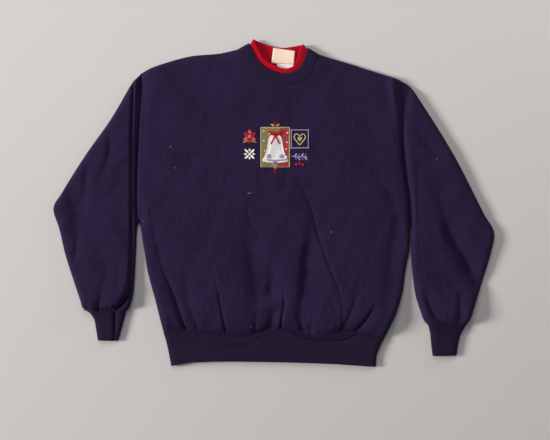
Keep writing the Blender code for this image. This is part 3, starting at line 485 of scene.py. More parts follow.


# %% [markdown]
# ## Creases
# A crease is a line on the cloth along which it sinks. Each row of these tables gives
# how deep it goes, how wide its slopes are, and how much its second side leans, which
# makes that slope longer and softer. The core is a narrow groove in its floor, where the
# cloth is pressed together and no light gets in. Swell says how strong the crease is
# along its line, since none is even from end to end. A negative depth raises a ridge.
# The places were read off the photo, one crease at a time.

# %% Crease tables
Crease = namedtuple("Crease", "place depth reach lean core swell line")
BODY_CREASES = (
    Crease("right side, deep", 4.0, 6, 1.5, 3.6, (0.2, 0.35, 0.45, 0.9, 1.0),
           ((-262, -8), (-250, -78), (-233, -141), (-212, -194), (-199, -230), (-186, -266))),
    Crease("right hip", 2.4, 9, 1.2, 0.5, (0.4, 0.9, 1.0), ((-186, -156), (-180, -205), (-161, -266))),
    Crease("right of middle, pressed", 1.0, 4, 1.3, 2.6, (0.2, 0.6, 0.9, 1.0),
           ((-133, -137), (-120, -171), (-112, -215), (-101, -271))),
    Crease("middle, soft", 7.0, 17, 1.7, 0.0, (0.2, 0.8, 1.0, 0.9, 0.7, 0.4),
           ((-50, -52), (-46, -99), (-40, -141), (-36, -184), (-33, -226), (-33, -271))),
    Crease("pocket", 8.0, 12, 1.4, 0.6, (0.2, 0.6, 1.0), ((-8, -124), (-2, -160), (-6, -188))),
    Crease("puff under the pocket", -3.4, 9, 1.0, 0.0, (0.8, 1.0, 0.7),
           ((-36, -220), (-19, -220), (-2, -222))),
    Crease("pocket at the seam", 7.0, 10, 1.3, 0.6, (0.7, 1.0, 1.0), ((0, -230), (-4, -249), (-8, -271))),
    Crease("pleat beside the pocket", 0.8, 3, 1.0, 0.7, (0.5, 1.0, 1.0),
           ((-36, -228), (-38, -247), (-40, -271))),
    Crease("middle, thin", 1.8, 5, 1.0, 3.2, (0.3, 0.9, 1.0, 1.0),
           ((20, -181), (22, -209), (17, -241), (15, -271))),
    Crease("left of middle, broad", 8.5, 11, 2.6, 0.9, (0.3, 0.65, 0.9, 1.0, 1.0, 0.7, 0.7, 1.0),
           ((81, -35), (79, -73), (70, -112), (66, -148), (64, -181), (60, -213), (56, -243),
            (64, -271))),
    Crease("long pressed fold", 1.0, 4, 1.2, 2.2, (0.4, 0.8, 0.9, 0.9, 0.9, 0.8, 0.6, 0.7),
           ((41, 62), (68, 20), (92, -61), (109, -109), (128, -162), (140, -190), (145, -226),
            (142, -271))),
    Crease("short, beside the broad one", 1.8, 5, 1.2, 0.8, (0.5, 1.0), ((81, -232), (79, -271))),
    Crease("towards the long fold", 2.1, 6, 1.4, 0.8, (0.5, 1.0, 1.0),
           ((176, -186), (164, -226), (147, -262))),
    Crease("left hip", 4.2, 7, 1.6, 3.8, (0.6, 1.0, 1.0), ((212, -220), (193, -247), (174, -271))),
    Crease("small diagonal", 1.2, 4, 1.2, 0.5, (0.6, 1.0, 0.6), ((109, -207), (119, -211), (130, -222))),
    Crease("smaller diagonal", 1.1, 4, 1.2, 0.4, (0.6, 1.0, 0.6),
           ((142, -162), (151, -167), (159, -175))),
    Crease("left side, broad", 4.2, 15, 1.3, 0.0, (0.5, 1.0, 1.0, 0.6),
           ((261, -42), (253, -101), (246, -162), (234, -215))),
    Crease("left chest arc", 2.6, 11, 1.4, 0.6, (0.3, 0.8, 1.0, 1.0, 1.0, 0.5),
           ((149, 115), (189, 88), (221, 56), (246, 16), (259, -20), (263, -73))),
    Crease("below the left shoulder", 1.8, 10, 1.4, 0.2, (0.5, 1.0, 0.8, 0.5),
           ((181, 183), (206, 156), (221, 143), (246, 115))),
    Crease("across the right chest", 1.5, 16, 1.3, 0.0, (0.6, 1.0, 0.9, 0.4),
           ((-252, 41), (-195, 26), (-125, 7), (-93, -1))),
    Crease("right chest, faint", 1.1, 13, 1.3, 0.0, (0.6, 1.0, 0.6),
           ((-203, 81), (-154, 100), (-114, 107))),
    Crease("belly, thin", 0.9, 6, 1.2, 0.6, (0.5, 1.0, 1.0, 0.6),
           ((-53, 11), (-53, -33), (-33, -65), (-21, -90))),
    Crease("under the panel", 0.9, 5, 1.2, 0.4, (1.0, 0.5), ((-31, 67), (-29, 39))),
    Crease("under the panel, left", 0.9, 6, 1.2, 0.3, (1.0, 0.5), ((28, 62), (17, 26))),
    Crease("chest, short", 1.1, 7, 1.2, 0.3, (0.7, 1.0), ((85, 111), (109, 84))),
    Crease("chest, shorter", 1.1, 7, 1.2, 0.3, (0.7, 1.0), ((132, 100), (153, 84))),
    Crease("from the collar", 0.8, 5, 1.2, 0.5, (1.0, 0.8, 0.3), ((36, 232), (36, 204), (36, 173))),
    Crease("waist, tiny", 0.9, 5, 1.2, 0.3, (0.6, 1.0), ((109, -18), (132, -18))),
    Crease("waist, small", 1.3, 6, 1.2, 0.4, (0.6, 1.0), ((68, -145), (100, -150))),
    Crease("left shoulder", 3.0, 10, 1.5, 0.6, (1.0, 1.0, 0.8, 0.6, 0.5, 0.4),
           ((70, 257), (98, 272), (130, 281), (170, 276), (195, 266), (229, 264))),
    Crease("left shoulder point", 1.8, 7, 1.2, 0.4, (1.0, 0.6), ((234, 253), (246, 232))),
    Crease("right shoulder", 1.4, 9, 1.3, 0.4, (0.8, 1.0, 0.7), ((-103, 291), (-91, 285), (-76, 283))),
    Crease("beside the right armhole", 1.6, 3, 1.0, 2.6, (0.5, 1.0, 0.8, 0.5, 0.2),
           ((-275, 270), (-275, 219), (-275, 166), (-277, 113), (-277, 71))),
)
RIGHT_SLEEVE_CREASES = (
    Crease("along the armhole", 3.4, 4, 1.0, 4.4, (0.6, 1.0, 1.0, 1.0, 1.0, 0.9, 0.8),
           ((-296, 268), (-300, 177), (-301, 92), (-301, 7), (-301, -78), (-303, -152), (-306, -184))),
    Crease("wedge at the cuff", 10.0, 7, 1.0, 6.0, (0.3, 1.0, 1.0, 0.6),
           ((-303, -171), (-307, -194), (-318, -211), (-332, -226))),
    Crease("upper arm", 3.4, 8, 1.5, 0.8, (0.4, 1.0, 0.8, 0.4),
           ((-345, 151), (-347, 113), (-354, 81), (-366, 54))),
    Crease("above the elbow", 3.4, 7, 1.5, 0.6, (0.5, 1.0, 0.6), ((-394, 79), (-398, 45), (-402, 14))),
    Crease("elbow, soft", 6.4, 15, 1.9, 0.0, (0.5, 1.0, 0.7), ((-432, 33), (-419, -14), (-417, -56))),
    Crease("below the elbow", 2.8, 7, 1.3, 0.6, (0.6, 1.0, 0.7),
           ((-415, -61), (-417, -92), (-421, -116))),
    Crease("inside of the elbow", 2.2, 9, 1.3, 0.2, (0.5, 1.0, 0.7),
           ((-354, -63), (-341, -82), (-328, -103))),
    Crease("above the cuff", 3.6, 7, 1.4, 1.8, (0.35, 0.35, 0.5, 1.0),
           ((-351, -133), (-358, -171), (-366, -203), (-370, -224))),
    Crease("inner forearm", 1.4, 8, 1.3, 0.2, (0.5, 1.0, 0.6),
           ((-328, -122), (-328, -152), (-330, -179))),
    Crease("at the cuff, outer", 1.8, 5, 1.2, 0.8, (0.4, 1.0), ((-392, -205), (-390, -228))),
    Crease("seam ridge", -2.2, 3, 1.0, 0.0, (0.8, 1.0, 1.0), ((-392, -224), (-368, -220), (-341, -215))),
)
LEFT_SLEEVE_CREASES = (
    Crease("along the armhole", 1.6, 7, 1.3, 0.4, (0.3, 1.0, 1.0, 0.6),
           ((306, 117), (306, 28), (306, -67), (308, -145))),
    Crease("cap, inner", 1.6, 6, 1.2, 0.5, (1.0, 0.8, 0.4), ((299, 219), (304, 206), (306, 194))),
    Crease("cap, diagonal", 2.0, 9, 1.4, 0.3, (0.5, 1.0, 0.5), ((297, 177), (314, 134), (348, 100))),
    Crease("elbow diagonal", 10.5, 12, 1.9, 1.2, (0.1, 0.25, 0.6, 1.0, 1.0, 1.1, 0.7),
           ((350, 43), (361, -20), (374, -65), (391, -99), (412, -135), (431, -169))),
    Crease("across the upper arm", 1.3, 7, 1.2, 0.2, (0.6, 1.0), ((314, -14), (344, -22))),
    Crease("across the forearm", 3.4, 7, 1.5, 0.5, (0.6, 1.0, 0.7),
           ((333, -156), (361, -158), (386, -175))),
    Crease("above the cuff", 5.5, 10, 1.3, 2.2, (0.7, 1.0, 1.0, 0.6),
           ((321, -192), (327, -213), (335, -230), (352, -249))),
    Crease("outer side", 4.4, 8, 1.4, 0.6, (0.5, 1.0, 1.0), ((395, -186), (393, -218), (391, -254))),
    Crease("seam ridge", -2.2, 3, 1.0, 0.0, (0.8, 1.0, 1.0), ((333, -249), (365, -254), (405, -251))),
)
BAND_CREASES = (
    Crease("right half, roll", -2.2, 5, 1.0, 0.0, (0.2, 1.0, 1.0, 0.3),
           ((-173, -279), (-131, -287), (-84, -293), (-42, -287))),
    Crease("right half, dip", 2.4, 6, 1.2, 3.0, (0.3, 0.8, 1.0, 1.0, 0.5),
           ((-182, -279), (-150, -287), (-110, -298), (-72, -303), (-42, -300))),
    Crease("left half, dip", 2.2, 5, 1.2, 3.4, (0.6, 1.0, 1.0, 1.0, 0.6),
           ((49, -277), (79, -285), (111, -290), (151, -290), (179, -277))),
)
RIGHT_CUFF_CREASES = (
    Crease("cuff fold", 2.4, 5, 1.2, 3.0, (1.0, 1.0, 0.8), ((-337, -226), (-337, -258), (-338, -292))),
)
SEAM_CREASES = (
    Crease("right armhole, top", 4.4, 6, 1.0, 3.0, (1.0, 1.0, 0.7, 0.1),
           ((-282, 287), (-282, 253), (-284, 226), (-286, 185))),
    Crease("right armhole, line", 2.6, 4, 1.0, 2.8, (0.5, 1.0, 1.0, 0.9),
           ((-286, 206), (-288, 134), (-291, 50), (-291, -25))),
    Crease("left armhole, ridge", -7.0, 8, 1.0, 0.0, (1.0, 1.0, 0.5, 0.1),
           ((251, 270), (253, 230), (259, 194), (268, 147))),
    Crease("left armhole, valley", 6.0, 8, 1.5, 0.6, (1.0, 1.0, 0.75, 0.1),
           ((272, 270), (274, 230), (274, 194), (275, 147))),
    Crease("left armhole, valley floor", 6.0, 7, 1.5, 0.0, (1.0, 1.0, 0.6, 0.1),
           ((287, 262), (285, 236), (280, 206), (277, 177))),
    Crease("left armhole, line", 5.4, 6, 1.0, 2.2, (0.4, 0.9, 1.0, 1.0, 1.0, 0.9),
           ((272, 177), (275, 113), (281, 58), (289, -6), (291, -48), (291, -78))),
)
CREASE_SHARES = np.linspace(0, 1, 16)
CORE_WIDTH = 2.2            # half width of a crease's dark core, in mm
RIGHTWARDS = (1.0, -0.35)   # the way that counts as a crease's second side


def follow(points, line):
    """For each point its distance to a line, where along the line, and on which side it is."""
    points = np.asarray(points, float)[..., :2]
    nearest = np.full(points.shape[:-1], np.inf)
    along = np.zeros(points.shape[:-1])
    side = np.zeros(points.shape[:-1])
    for index, (start, end) in enumerate(zip(line[:-1], line[1:])):
        run = end - start
        normal = np.array((-run[1], run[0])) / np.linalg.norm(run)
        normal *= np.sign(normal @ RIGHTWARDS)
        share = np.clip(((points - start) @ run) / (run @ run), 0, 1)
        off = points - start - share[..., None] * run
        away = np.linalg.norm(off, axis=-1)
        better = away < nearest
        nearest = np.where(better, away, nearest)
        along = np.where(better, (index + share) / (len(line) - 1), along)
        side = np.where(better, off @ normal / np.maximum(away, 0.01), side)
    return nearest, along, side


def crease_drops(points, creases):
    """How far the creases of a table sink the points: by their slopes, and by their cores."""
    slopes = np.zeros(points.shape[:-1])
    cores = np.zeros(points.shape[:-1])
    for crease in creases:
        away, along, side = follow(points, smooth(crease.line, CREASE_SHARES))
        knots = np.linspace(0, 1, len(crease.swell))
        swell = through(knots, np.array(crease.swell)[:, None], along)[..., 0]
        reach = crease.reach * (1 + (crease.lean - 1) * np.clip(side, 0, 1))
        slopes += swell * crease.depth * np.exp(-(away / reach)**2)
        cores += swell**2 * crease.core * np.exp(-(away / CORE_WIDTH)**2)
    return slopes, cores


CREASE_TABLES = (BODY_CREASES, RIGHT_SLEEVE_CREASES, LEFT_SLEEVE_CREASES, BAND_CREASES,
                 RIGHT_CUFF_CREASES, SEAM_CREASES)
print("creases:", sum(map(len, CREASE_TABLES)))

# %% [markdown]
# ## From grids of points to cloth
# Each piece is a grid: rows go along it, and columns across it or round it. One function
# turns a grid into a mesh, and gives every face its place on the flat cloth in a UV map
# called cloth, in metres, so that the knit keeps its size on every piece.

# %% Grids to meshes
def cloth_uv(grid, closed):
    """Flat place of every grid point: how far across and how far along, in metres."""
    if closed:
        grid = np.concatenate((grid, grid[:, :1]), axis=1)
    across = np.linalg.norm(np.diff(grid, axis=1), axis=-1)
    across = np.concatenate((np.zeros((len(grid), 1)), np.cumsum(across, axis=1)), axis=1)
    across -= across[:, -1:] / 2
    middle = grid[:, grid.shape[1] // 4 if closed else grid.shape[1] // 2]
    along = np.concatenate(([0.0], np.cumsum(steps(middle))))
    return np.stack((across, np.repeat(along[:, None], grid.shape[1], axis=1)), axis=-1) * MM


def grid_mesh(name, grid, uv, closed=False, ring=False, upwards=True):
    """A mesh from a grid in mm. closed joins the last column to the first, ring the rows."""
    rows, columns = grid.shape[:2]
    row, column = np.meshgrid(np.arange(rows if ring else rows - 1),
                              np.arange(columns if closed else columns - 1), indexing="ij")
    beside = (column + 1) % columns
    after = (row + 1) % rows
    faces = np.stack((row * columns + column, row * columns + beside,
                      after * columns + beside, after * columns + column), axis=-1).reshape(-1, 4)
    next_uv = np.minimum(row + 1, len(uv) - 1)
    corners = np.stack((uv[row, column], uv[row, column + 1],
                        uv[next_uv, column + 1], uv[next_uv, column]), axis=-2).reshape(-1, 4, 2)
    if not upwards:
        faces = faces[:, ::-1]
        corners = corners[:, ::-1]
    mesh = bpy.data.meshes.new(name)
    mesh.from_pydata(((grid + SHIFT) * MM).reshape(-1, 3).tolist(), [], faces.tolist())
    layer = mesh.uv_layers.new(name="cloth")
    layer.data.foreach_set("uv", corners.ravel())
    mesh.shade_smooth()
    mesh.update()
    return mesh


def add_object(name, mesh, material=None):
    piece = bpy.data.objects.new(name, mesh)
    bpy.context.scene.collection.objects.link(piece)
    if material is not None:
        mesh.materials.append(material)
    return piece


def settle(piece):
    """Turns a piece with modifiers into a plain mesh of what they make."""
    bpy.context.view_layer.update()
    evaluated = piece.evaluated_get(bpy.context.evaluated_depsgraph_get())
    mesh = bpy.data.meshes.new_from_object(evaluated)
    mesh.name = piece.name
    piece.modifiers.clear()
    piece.data = mesh
    return piece


def cloth_piece(name, grid, material, uv=None, closed=False, upwards=True, wall=FLEECE):
    """A grid of outer points as cloth with its wall on the inner side."""
    uv = cloth_uv(grid, closed) if uv is None else uv
    piece = add_object(name, grid_mesh(name, grid, uv, closed, False, upwards), material)
    thickness = piece.modifiers.new("wall", "SOLIDIFY")
    thickness.thickness = wall * MM
    thickness.offset = -1
    return settle(piece)


def triangles(piece):
    return sum(len(face.vertices) - 2 for face in piece.data.polygons)


# %% [markdown]
# ## The front
# The front is one surface between four edges: two sides, the hem seam, and a top that
# runs along the shoulders and the neck. Rows and columns are blended between those edges
# (a Coons patch). Near the folded edges the columns stand close, because there the
# cloth turns through a right angle within 14 mm.
#
# Its height is a sum of causes that a sewer would name: air caught inside, fullness
# gathered into the waistband, creases, small gathers at the seam, and the seams
# pulling it down.

# %% The body's plan
EDGE_STEPS = np.array((0.0, 0.15, 0.6, 1.3, 2.4, 3.8, 5.5, 7.5, 10.0, 13.0))   # columns at a fold
BODY_SIDE = 560.0           # from the hem seam to the shoulder
PITCH = 2.05                # spacing of the front's columns
FRONT_ROWS = np.concatenate((np.arange(0, 30, 1.7), np.arange(30, 170, 3.3),
                             np.arange(170, BODY_SIDE - EDGE_STEPS[-1] - 3, 5.2)))


def top_line(u, neck_rows):
    """The right shoulder, the neck and the left shoulder, read across the panel."""
    right = smooth(RIGHT_SHOULDER, np.clip(u / NECK_START, 0, 1))
    neck = neck_line(neck_rows, "seam", np.clip((u - NECK_START) / (NECK_END - NECK_START), 0, 1))
    left = smooth(LEFT_SHOULDER, np.clip((u - NECK_END) / (1 - NECK_END), 0, 1))
    top = np.where((u >= NECK_END)[..., None], left, neck)
    return np.where((u <= NECK_START)[..., None], right, top)


def fill(table, u, rows, start, end, fade=1):
    """Points between a table's two sides, and a start and an end line, both read at u."""
    t = np.repeat(rows[:, None], u.shape[1], axis=1)

    def across(place):
        return (1 - u)[..., None] * side_line(table, 1, place) + u[..., None] * side_line(table, 2, place)

    low = (1 - t)[..., None]**fade * (start(u) - across(np.zeros_like(t)))
    high = t[..., None]**fade * (end(u) - across(np.ones_like(t)))
    return across(t) + low + high


def with_height(points, height):
    """Plan points with a third coordinate."""
    return np.concatenate((points, height[..., None]), axis=-1)


def even_columns(table, rows, count=None, pitch=None):
    """Shares across each row: close together at both edges and even in between."""
    widths = np.linalg.norm(side_line(table, 2, rows) - side_line(table, 1, rows), axis=1)
    count = count or round(widths.mean() / pitch)
    edge = EDGE_STEPS / widths[:, None]
    inner = np.linspace(0, 1, count + 1)[None, 1:-1]
    inner = edge[:, -1:] + (1 - 2 * edge[:, -1:]) * inner
    return np.concatenate((edge, inner, 1 - edge[:, ::-1]), axis=1)


def body_plan(neck_rows, pitch, rows):
    """Plan points of a body panel, from its hem to its shoulders and neck."""
    rows = np.concatenate((rows, BODY_SIDE - EDGE_STEPS[::-1])) / BODY_SIDE
    return fill(BODY, even_columns(BODY, rows, pitch=pitch), rows, lambda u: smooth(HEM_SEAM, u),
                lambda u: top_line(u, neck_rows), TOP_FADE)


def from_folds(points):
    """Plan distance to the nearest folded edge: a side up to the armpit, or a shoulder."""
    low = np.linspace(0, section_knots(BODY)[ARMPIT], 40)
    share = np.linspace(0, 1, 30)
    edges = (side_line(BODY, 1, low), side_line(BODY, 2, low),
             smooth(RIGHT_SHOULDER, share), smooth(LEFT_SHOULDER, share))
    return np.min([distance(points, edge) for edge in edges], axis=0)


# %% The body's height
HEM_RISE = 10.0             # the cloth climbs from a seam to its full height over this width
CORE_START = 2.0            # a crease's core starts this far from its seam
NECK_LEVEL = 16.8           # the front is sewn on just below the collar
NECK_RISE = 45.0
ARMHOLE_RISE = 26.0
NECK_TURN_MORE = 8.0        # the turn is wider beside the neck
NECK_TURN_REACH = 40.0
GATHER_DEPTH = 0.6
GATHER_REACH = 26.0         # how far the gathers run from their seam
SEAM_GROOVE = 1.4
GROOVE_WIDTH = 2.2
BODY_WAVES = ((1.8, 120, 3), (0.7, 45, 5), (0.2, 17, 8))

hem_line = smooth(HEM_SEAM, EVENLY)
neck_seam = neck_line(FRONT_NECK, "seam", EVENLY)
armhole_shares = np.linspace(section_knots(BODY)[ARMPIT], 1, 40)
armhole_lines = (side_line(BODY, 1, armhole_shares), side_line(BODY, 2, armhole_shares))


def gathers(points, away, size, seed):
    """Small uneven pleats that leave a seam at right angles and fade out."""
    along = np.stack((points[..., 0], points[..., 1] * 0.12), axis=-1)
    return GATHER_DEPTH * wander(along, size, seed) * np.exp(-(away / GATHER_REACH)**2)


def body_height(points):
    """Height of the front's outer surface, before it turns down at the folded edges."""
    hem = distance(points, hem_line)
    neck = distance(points, neck_seam)
    armholes = np.minimum(distance(points, armhole_lines[0]), distance(points, armhole_lines[1]))
    height = CHEST + (BODY_BLOUSE - CHEST) * puff(hem, BODY_REACH)
    height = height + waves(points, BODY_WAVES) + gathers(points, hem, 17, 11)
    slopes, cores = crease_drops(points, BODY_CREASES)
    height = BAND + (height - slopes - BAND) * ease(hem, 0, HEM_RISE) - cores * ease(hem, 0, CORE_START)
    height = NECK_LEVEL + (height - NECK_LEVEL) * ease(neck, SEAM_FLAT, NECK_RISE)
    height = ARMHOLE + (height - ARMHOLE) * ease(armholes, SEAM_FLAT, ARMHOLE_RISE)
    height = height - SEAM_GROOVE * np.exp(-(np.minimum(hem, armholes) / GROOVE_WIDTH)**2)
    return np.maximum(height - sum(crease_drops(points, SEAM_CREASES)), LOWEST)


def front_height(points):
    """Height of the front's outer surface, with its turn towards the folded edges."""
    beside_neck = near(points, (RIGHT_SHOULDER[-1], LEFT_SHOULDER[0]), NECK_TURN_REACH)
    turn = TURN_UP + NECK_TURN_MORE * beside_neck
    return EDGE + (body_height(points) - EDGE) * turned(from_folds(points), turn)


front_plan = body_plan(FRONT_NECK, PITCH, FRONT_ROWS)
front_points = with_height(front_plan, front_height(front_plan))
front = cloth_piece("front_panel", front_points, navy_fleece, uv=front_plan * MM)
print("front:", front_points.shape[:2], triangles(front), "triangles")

# %% [markdown]
# ## The back
# The back lies on the floor, so its underside is flat, and only its edges curl up to
# meet the front's. It can be a coarser grid, because nothing creases it.

# %% Back panel
BACK_PITCH = 7.0


def floor_height(away):
    """Height of cloth that lies on the floor and curls up at its folded edge."""
    return EDGE * (1 - turned(away, TURN_DOWN))


back_plan = body_plan(BACK_NECK, BACK_PITCH, np.arange(0, BODY_SIDE - EDGE_STEPS[-1], BACK_PITCH))
back_points = with_height(back_plan, floor_height(from_folds(back_plan)))
back = cloth_piece("back_panel", back_points, navy_fleece, uv=back_plan * MM, upwards=False)
print("back:", back_points.shape[:2], triangles(back), "triangles")

# %% [markdown]
# ## The sleeves
# A set-in sleeve is a tube sewn into the armhole. Laid flat it has a top side, full of
# creases, and an underside that rests on the floor. Its rings run over the top from
# one edge to the other and back underneath.

# %% Sleeves
SLEEVE_SIDE = 420.0
SLEEVE_PITCH = 2.7
SLEEVE_COLUMNS = 66
CUFF_RISE = 12.0
SLEEVE_ARMHOLE_RISE = 12.0
FLOOR_SKIP = 4              # the underside has every fourth column of the top
SLEEVE_WAVES = ((1.5, 80, 0), (0.6, 32, 1))


def tube(table, rows, top_u, floor_u, start, end, top_height, edge_points=60):
    """Rings of a flattened tube: over its top, with a height for it, and back underneath."""
    shares = np.linspace(0, 1, edge_points)
    edges = [side_line(table, side, shares) for side in (1, 2)]
    halves = []
    for u in (top_u, floor_u):
        points = fill(table, u, rows, lambda s: smooth(start, s), lambda s: smooth(end, s))
        away = np.minimum(distance(points, edges[0]), distance(points, edges[1]))
        if u is top_u:
            level = EDGE + (top_height(points) - EDGE) * turned(away, TURN_UP)
        else:
            level = floor_height(away)
        halves.append(with_height(points, level))
    return np.concatenate(halves, axis=1)


def sleeve_height(points, start_line, cuff_line, creases, seed):
    from_cuff = distance(points, cuff_line)
    height = SLEEVE + (SLEEVE_BLOUSE - SLEEVE) * puff(from_cuff, SLEEVE_REACH)
    height = height + waves(points, SLEEVE_WAVES, seed) + gathers(points, from_cuff, 11, seed + 2)
    slopes, cores = crease_drops(points, creases)
    height = BAND + (height - slopes - BAND) * ease(from_cuff, 0, CUFF_RISE)
    height = height - cores * ease(from_cuff, 0, CORE_START)
    armhole = distance(points, start_line)
    height = ARMHOLE + (height - ARMHOLE) * ease(armhole, SEAM_FLAT, SLEEVE_ARMHOLE_RISE)
    height = height - SEAM_GROOVE * np.exp(-(np.minimum(from_cuff, armhole) / GROOVE_WIDTH)**2)
    return np.maximum(height - sum(crease_drops(points, SEAM_CREASES)), LOWEST)


def sleeve_grid(table, start_line, creases, seed):
    """Rings of a sleeve, close together at the armhole and at the cuff."""
    rows = np.concatenate((np.arange(0, 12, 2.0), np.arange(12, SLEEVE_SIDE - 8, SLEEVE_PITCH),
                           SLEEVE_SIDE - np.array((8, 6, 4, 2, 0.0)))) / SLEEVE_SIDE
    cuff_line = np.array((table[-1].outer, table[-1].inner), float)
    top_u = even_columns(table, rows, SLEEVE_COLUMNS)
    edge, columns = len(EDGE_STEPS), top_u.shape[1]
    keep = np.unique(np.concatenate((np.arange(edge), np.arange(edge, columns, FLOOR_SKIP),
                                     columns - 1 - np.arange(edge))))
    return tube(table, rows, top_u, top_u[:, keep[::-1][1:-1]], start_line, cuff_line,
                lambda points: sleeve_height(points, start_line, cuff_line, creases, seed))


right_points = sleeve_grid(RIGHT_SLEEVE, armhole_lines[0][::-1], RIGHT_SLEEVE_CREASES, 21)
right_sleeve = cloth_piece("right_sleeve_cloth", right_points, navy_fleece, closed=True, upwards=False)
left_points = sleeve_grid(LEFT_SLEEVE, armhole_lines[1][::-1], LEFT_SLEEVE_CREASES, 31)
left_sleeve = cloth_piece("left_sleeve_cloth", left_points, navy_fleece, closed=True)
print("sleeves:", triangles(right_sleeve), triangles(left_sleeve), "triangles")

# %% [markdown]
# ## Ribs, by Geometry Nodes
# Waistband, cuffs and collars are knitted in ribs and doubled over, so their free edges
# are round. Each is built as a closed ring: out along the visible side, round the
# fold, and back on the inside. The ribs themselves repeat hundreds of times, which is
# work for Geometry Nodes. The tree pushes every point out along its normal by a wave of
# its place round the band. The place and a mask, which is 0 where the cloth must
# stay flat, are attributes that the script writes beforehand.

# %% The rib tree
RIB_PITCH = 2.75
RIB_COLUMNS = 4             # columns for each rib
RIB_RAISE = 0.35            # how far a rib stands out of its band


def new_tree(name, sockets):
    """A Geometry Nodes tree with a geometry input and output and named inputs."""
    tree = bpy.data.node_groups.new(name, "GeometryNodeTree")
    tree.interface.new_socket("Geometry", in_out="INPUT", socket_type="NodeSocketGeometry")
    for label, kind, default in sockets:
        socket = tree.interface.new_socket(label, in_out="INPUT", socket_type=kind)
        if default is not None:
            socket.default_value = default
    tree.interface.new_socket("Geometry", in_out="OUTPUT", socket_type="NodeSocketGeometry")
    return tree, add_node(tree, "NodeGroupInput"), add_node(tree, "NodeGroupOutput")


def finish_tree(tree, geometry, material_socket, output):
    """Ends a tree: instances made real, shaded smooth, and given their material."""
    real = add_node(tree, "GeometryNodeRealizeInstances", {"Geometry": geometry})
    smoothed = add_node(tree, "GeometryNodeSetShadeSmooth", {"Geometry": real.outputs["Geometry"]})
    dressed = add_node(tree, "GeometryNodeSetMaterial",
                       {"Geometry": smoothed.outputs["Geometry"], "Material": material_socket})
    tree.links.new(dressed.outputs["Geometry"], output.inputs["Geometry"])


def grow(piece, tree, **values):
    """Runs a tree on a piece and keeps the result as a plain mesh."""
    modifier = piece.modifiers.new(tree.name, "NODES")
    modifier.node_group = tree
    for item in tree.interface.items_tree:
        if item.in_out == "INPUT" and item.name in values:
            modifier[item.identifier] = values[item.name]
    return settle(piece)


rib_tree, rib_in, rib_out = new_tree("ribs", (
    ("Raise", "NodeSocketFloat", RIB_RAISE * MM),
    ("Material", "NodeSocketMaterial", None),
))
turn_count, rib_mask = (
    add_node(rib_tree, "GeometryNodeInputNamedAttribute", {"Name": label}).outputs["Attribute"]
    for label in ("rib_turn", "rib_mask"))
wave = maths(rib_tree, "COSINE", maths(rib_tree, "MULTIPLY", turn_count, 2 * np.pi))
crest = maths(rib_tree, "SUBTRACT", 0.5, maths(rib_tree, "MULTIPLY", wave, 0.5))
push = maths(rib_tree, "MULTIPLY", maths(rib_tree, "MULTIPLY", crest, rib_mask), rib_in.outputs["Raise"])
offset = add_node(rib_tree, "ShaderNodeVectorMath",
                  {0: add_node(rib_tree, "GeometryNodeInputNormal").outputs["Normal"], "Scale": push},
                  operation="SCALE")
moved = add_node(rib_tree, "GeometryNodeSetPosition",
                 {"Geometry": rib_in.outputs["Geometry"], "Offset": offset.outputs["Vector"]})
finish_tree(rib_tree, moved.outputs["Geometry"], rib_in.outputs["Material"], rib_out)
print("rib tree:", len(rib_tree.nodes), "nodes")

# %% Doubled bands
CAP_TURNS = np.radians((30, 60, 90, 120, 150))
SEAM_RIDGE = 2.0            # the seam's turned-in edges lift the band beside the seam
RIDGE_PLACE = 3.0
RIDGE_WIDTH = 1.5
BAND_WAVES = ((0.5, 60, 0), (0.2, 22, 1))


def outward(grid, upwards):
    """Unit normals of a grid that is closed across, on its outer side."""
    along = np.gradient(grid, axis=0)
    across = (np.roll(grid, -1, axis=1) - np.roll(grid, 1, axis=1)) / 2
    normal = np.cross(across, along)
    normal /= np.maximum(np.linalg.norm(normal, axis=-1), 1e-9)[..., None]
    return normal if upwards else -normal


def ribbed_band(name, grid, turns, material, upwards, wall=RIB, raise_by=RIB_RAISE):
    """A ring of doubled rib: outer side, round fold at the last row, and inner side."""
    normal = outward(grid, upwards)
    middle = grid[-1] - normal[-1] * wall / 2
    onward = grid[-1] - grid[-2]
    onward /= np.linalg.norm(onward, axis=-1)[:, None]
    cap = [middle + (normal[-1] * np.cos(turn) + onward * np.sin(turn)) * wall / 2
           for turn in CAP_TURNS]
    inner = (grid - normal * wall)[::-1]
    whole = np.concatenate((grid, np.array(cap), inner))
    piece = add_object(name, grid_mesh(name, whole, cloth_uv(whole, True), True, True, upwards))
    facing = np.concatenate((normal, np.repeat(normal[-1:], len(cap), axis=0), -normal[::-1]))
    mask = ease(facing[..., 2], -0.5, -0.1)
    mask[0] = 0
    mask[-1] = 0
    for label, values in (("rib_turn", np.repeat(turns[None], len(whole), axis=0)), ("rib_mask", mask)):
        attribute = piece.data.attributes.new(label, "FLOAT", "POINT")
        attribute.data.foreach_set("value", values.astype(np.float32).ravel())
    return grow(piece, rib_tree, Raise=raise_by * MM, Material=material)


def rib_count(line):
    """How many ribs stand along a line."""
    return round(steps(line).sum() / RIB_PITCH)


def band_height(points, seam, creases, seed):
    height = BAND + waves(points, BAND_WAVES, seed) - sum(crease_drops(points, creases))
    away = distance(points, smooth(seam, EVENLY))
    height = height - SEAM_GROOVE * np.exp(-(away / GROOVE_WIDTH)**2)
    height = height + SEAM_RIDGE * np.exp(-((away - RIDGE_PLACE) / RIDGE_WIDTH)**2)
    return np.maximum(height, LOWEST_RIB)


def make_band(name, table, seam, free_edge, rows, creases, seed):
    """A flattened band of rib, from its seam to its free edge."""
    top_u = np.linspace(0, 1, RIB_COLUMNS * rib_count(smooth(free_edge, EVENLY)) + 1)
    top_u, floor_u = (np.repeat(u[None], len(rows), axis=0) for u in (top_u, top_u[-2:0:-1]))
    grid = tube(table, rows, top_u, floor_u, seam, free_edge,
                lambda points: band_height(points, seam, creases, seed), edge_points=40)
    return ribbed_band(name, grid, np.arange(grid.shape[1]) / RIB_COLUMNS, navy_rib, False)


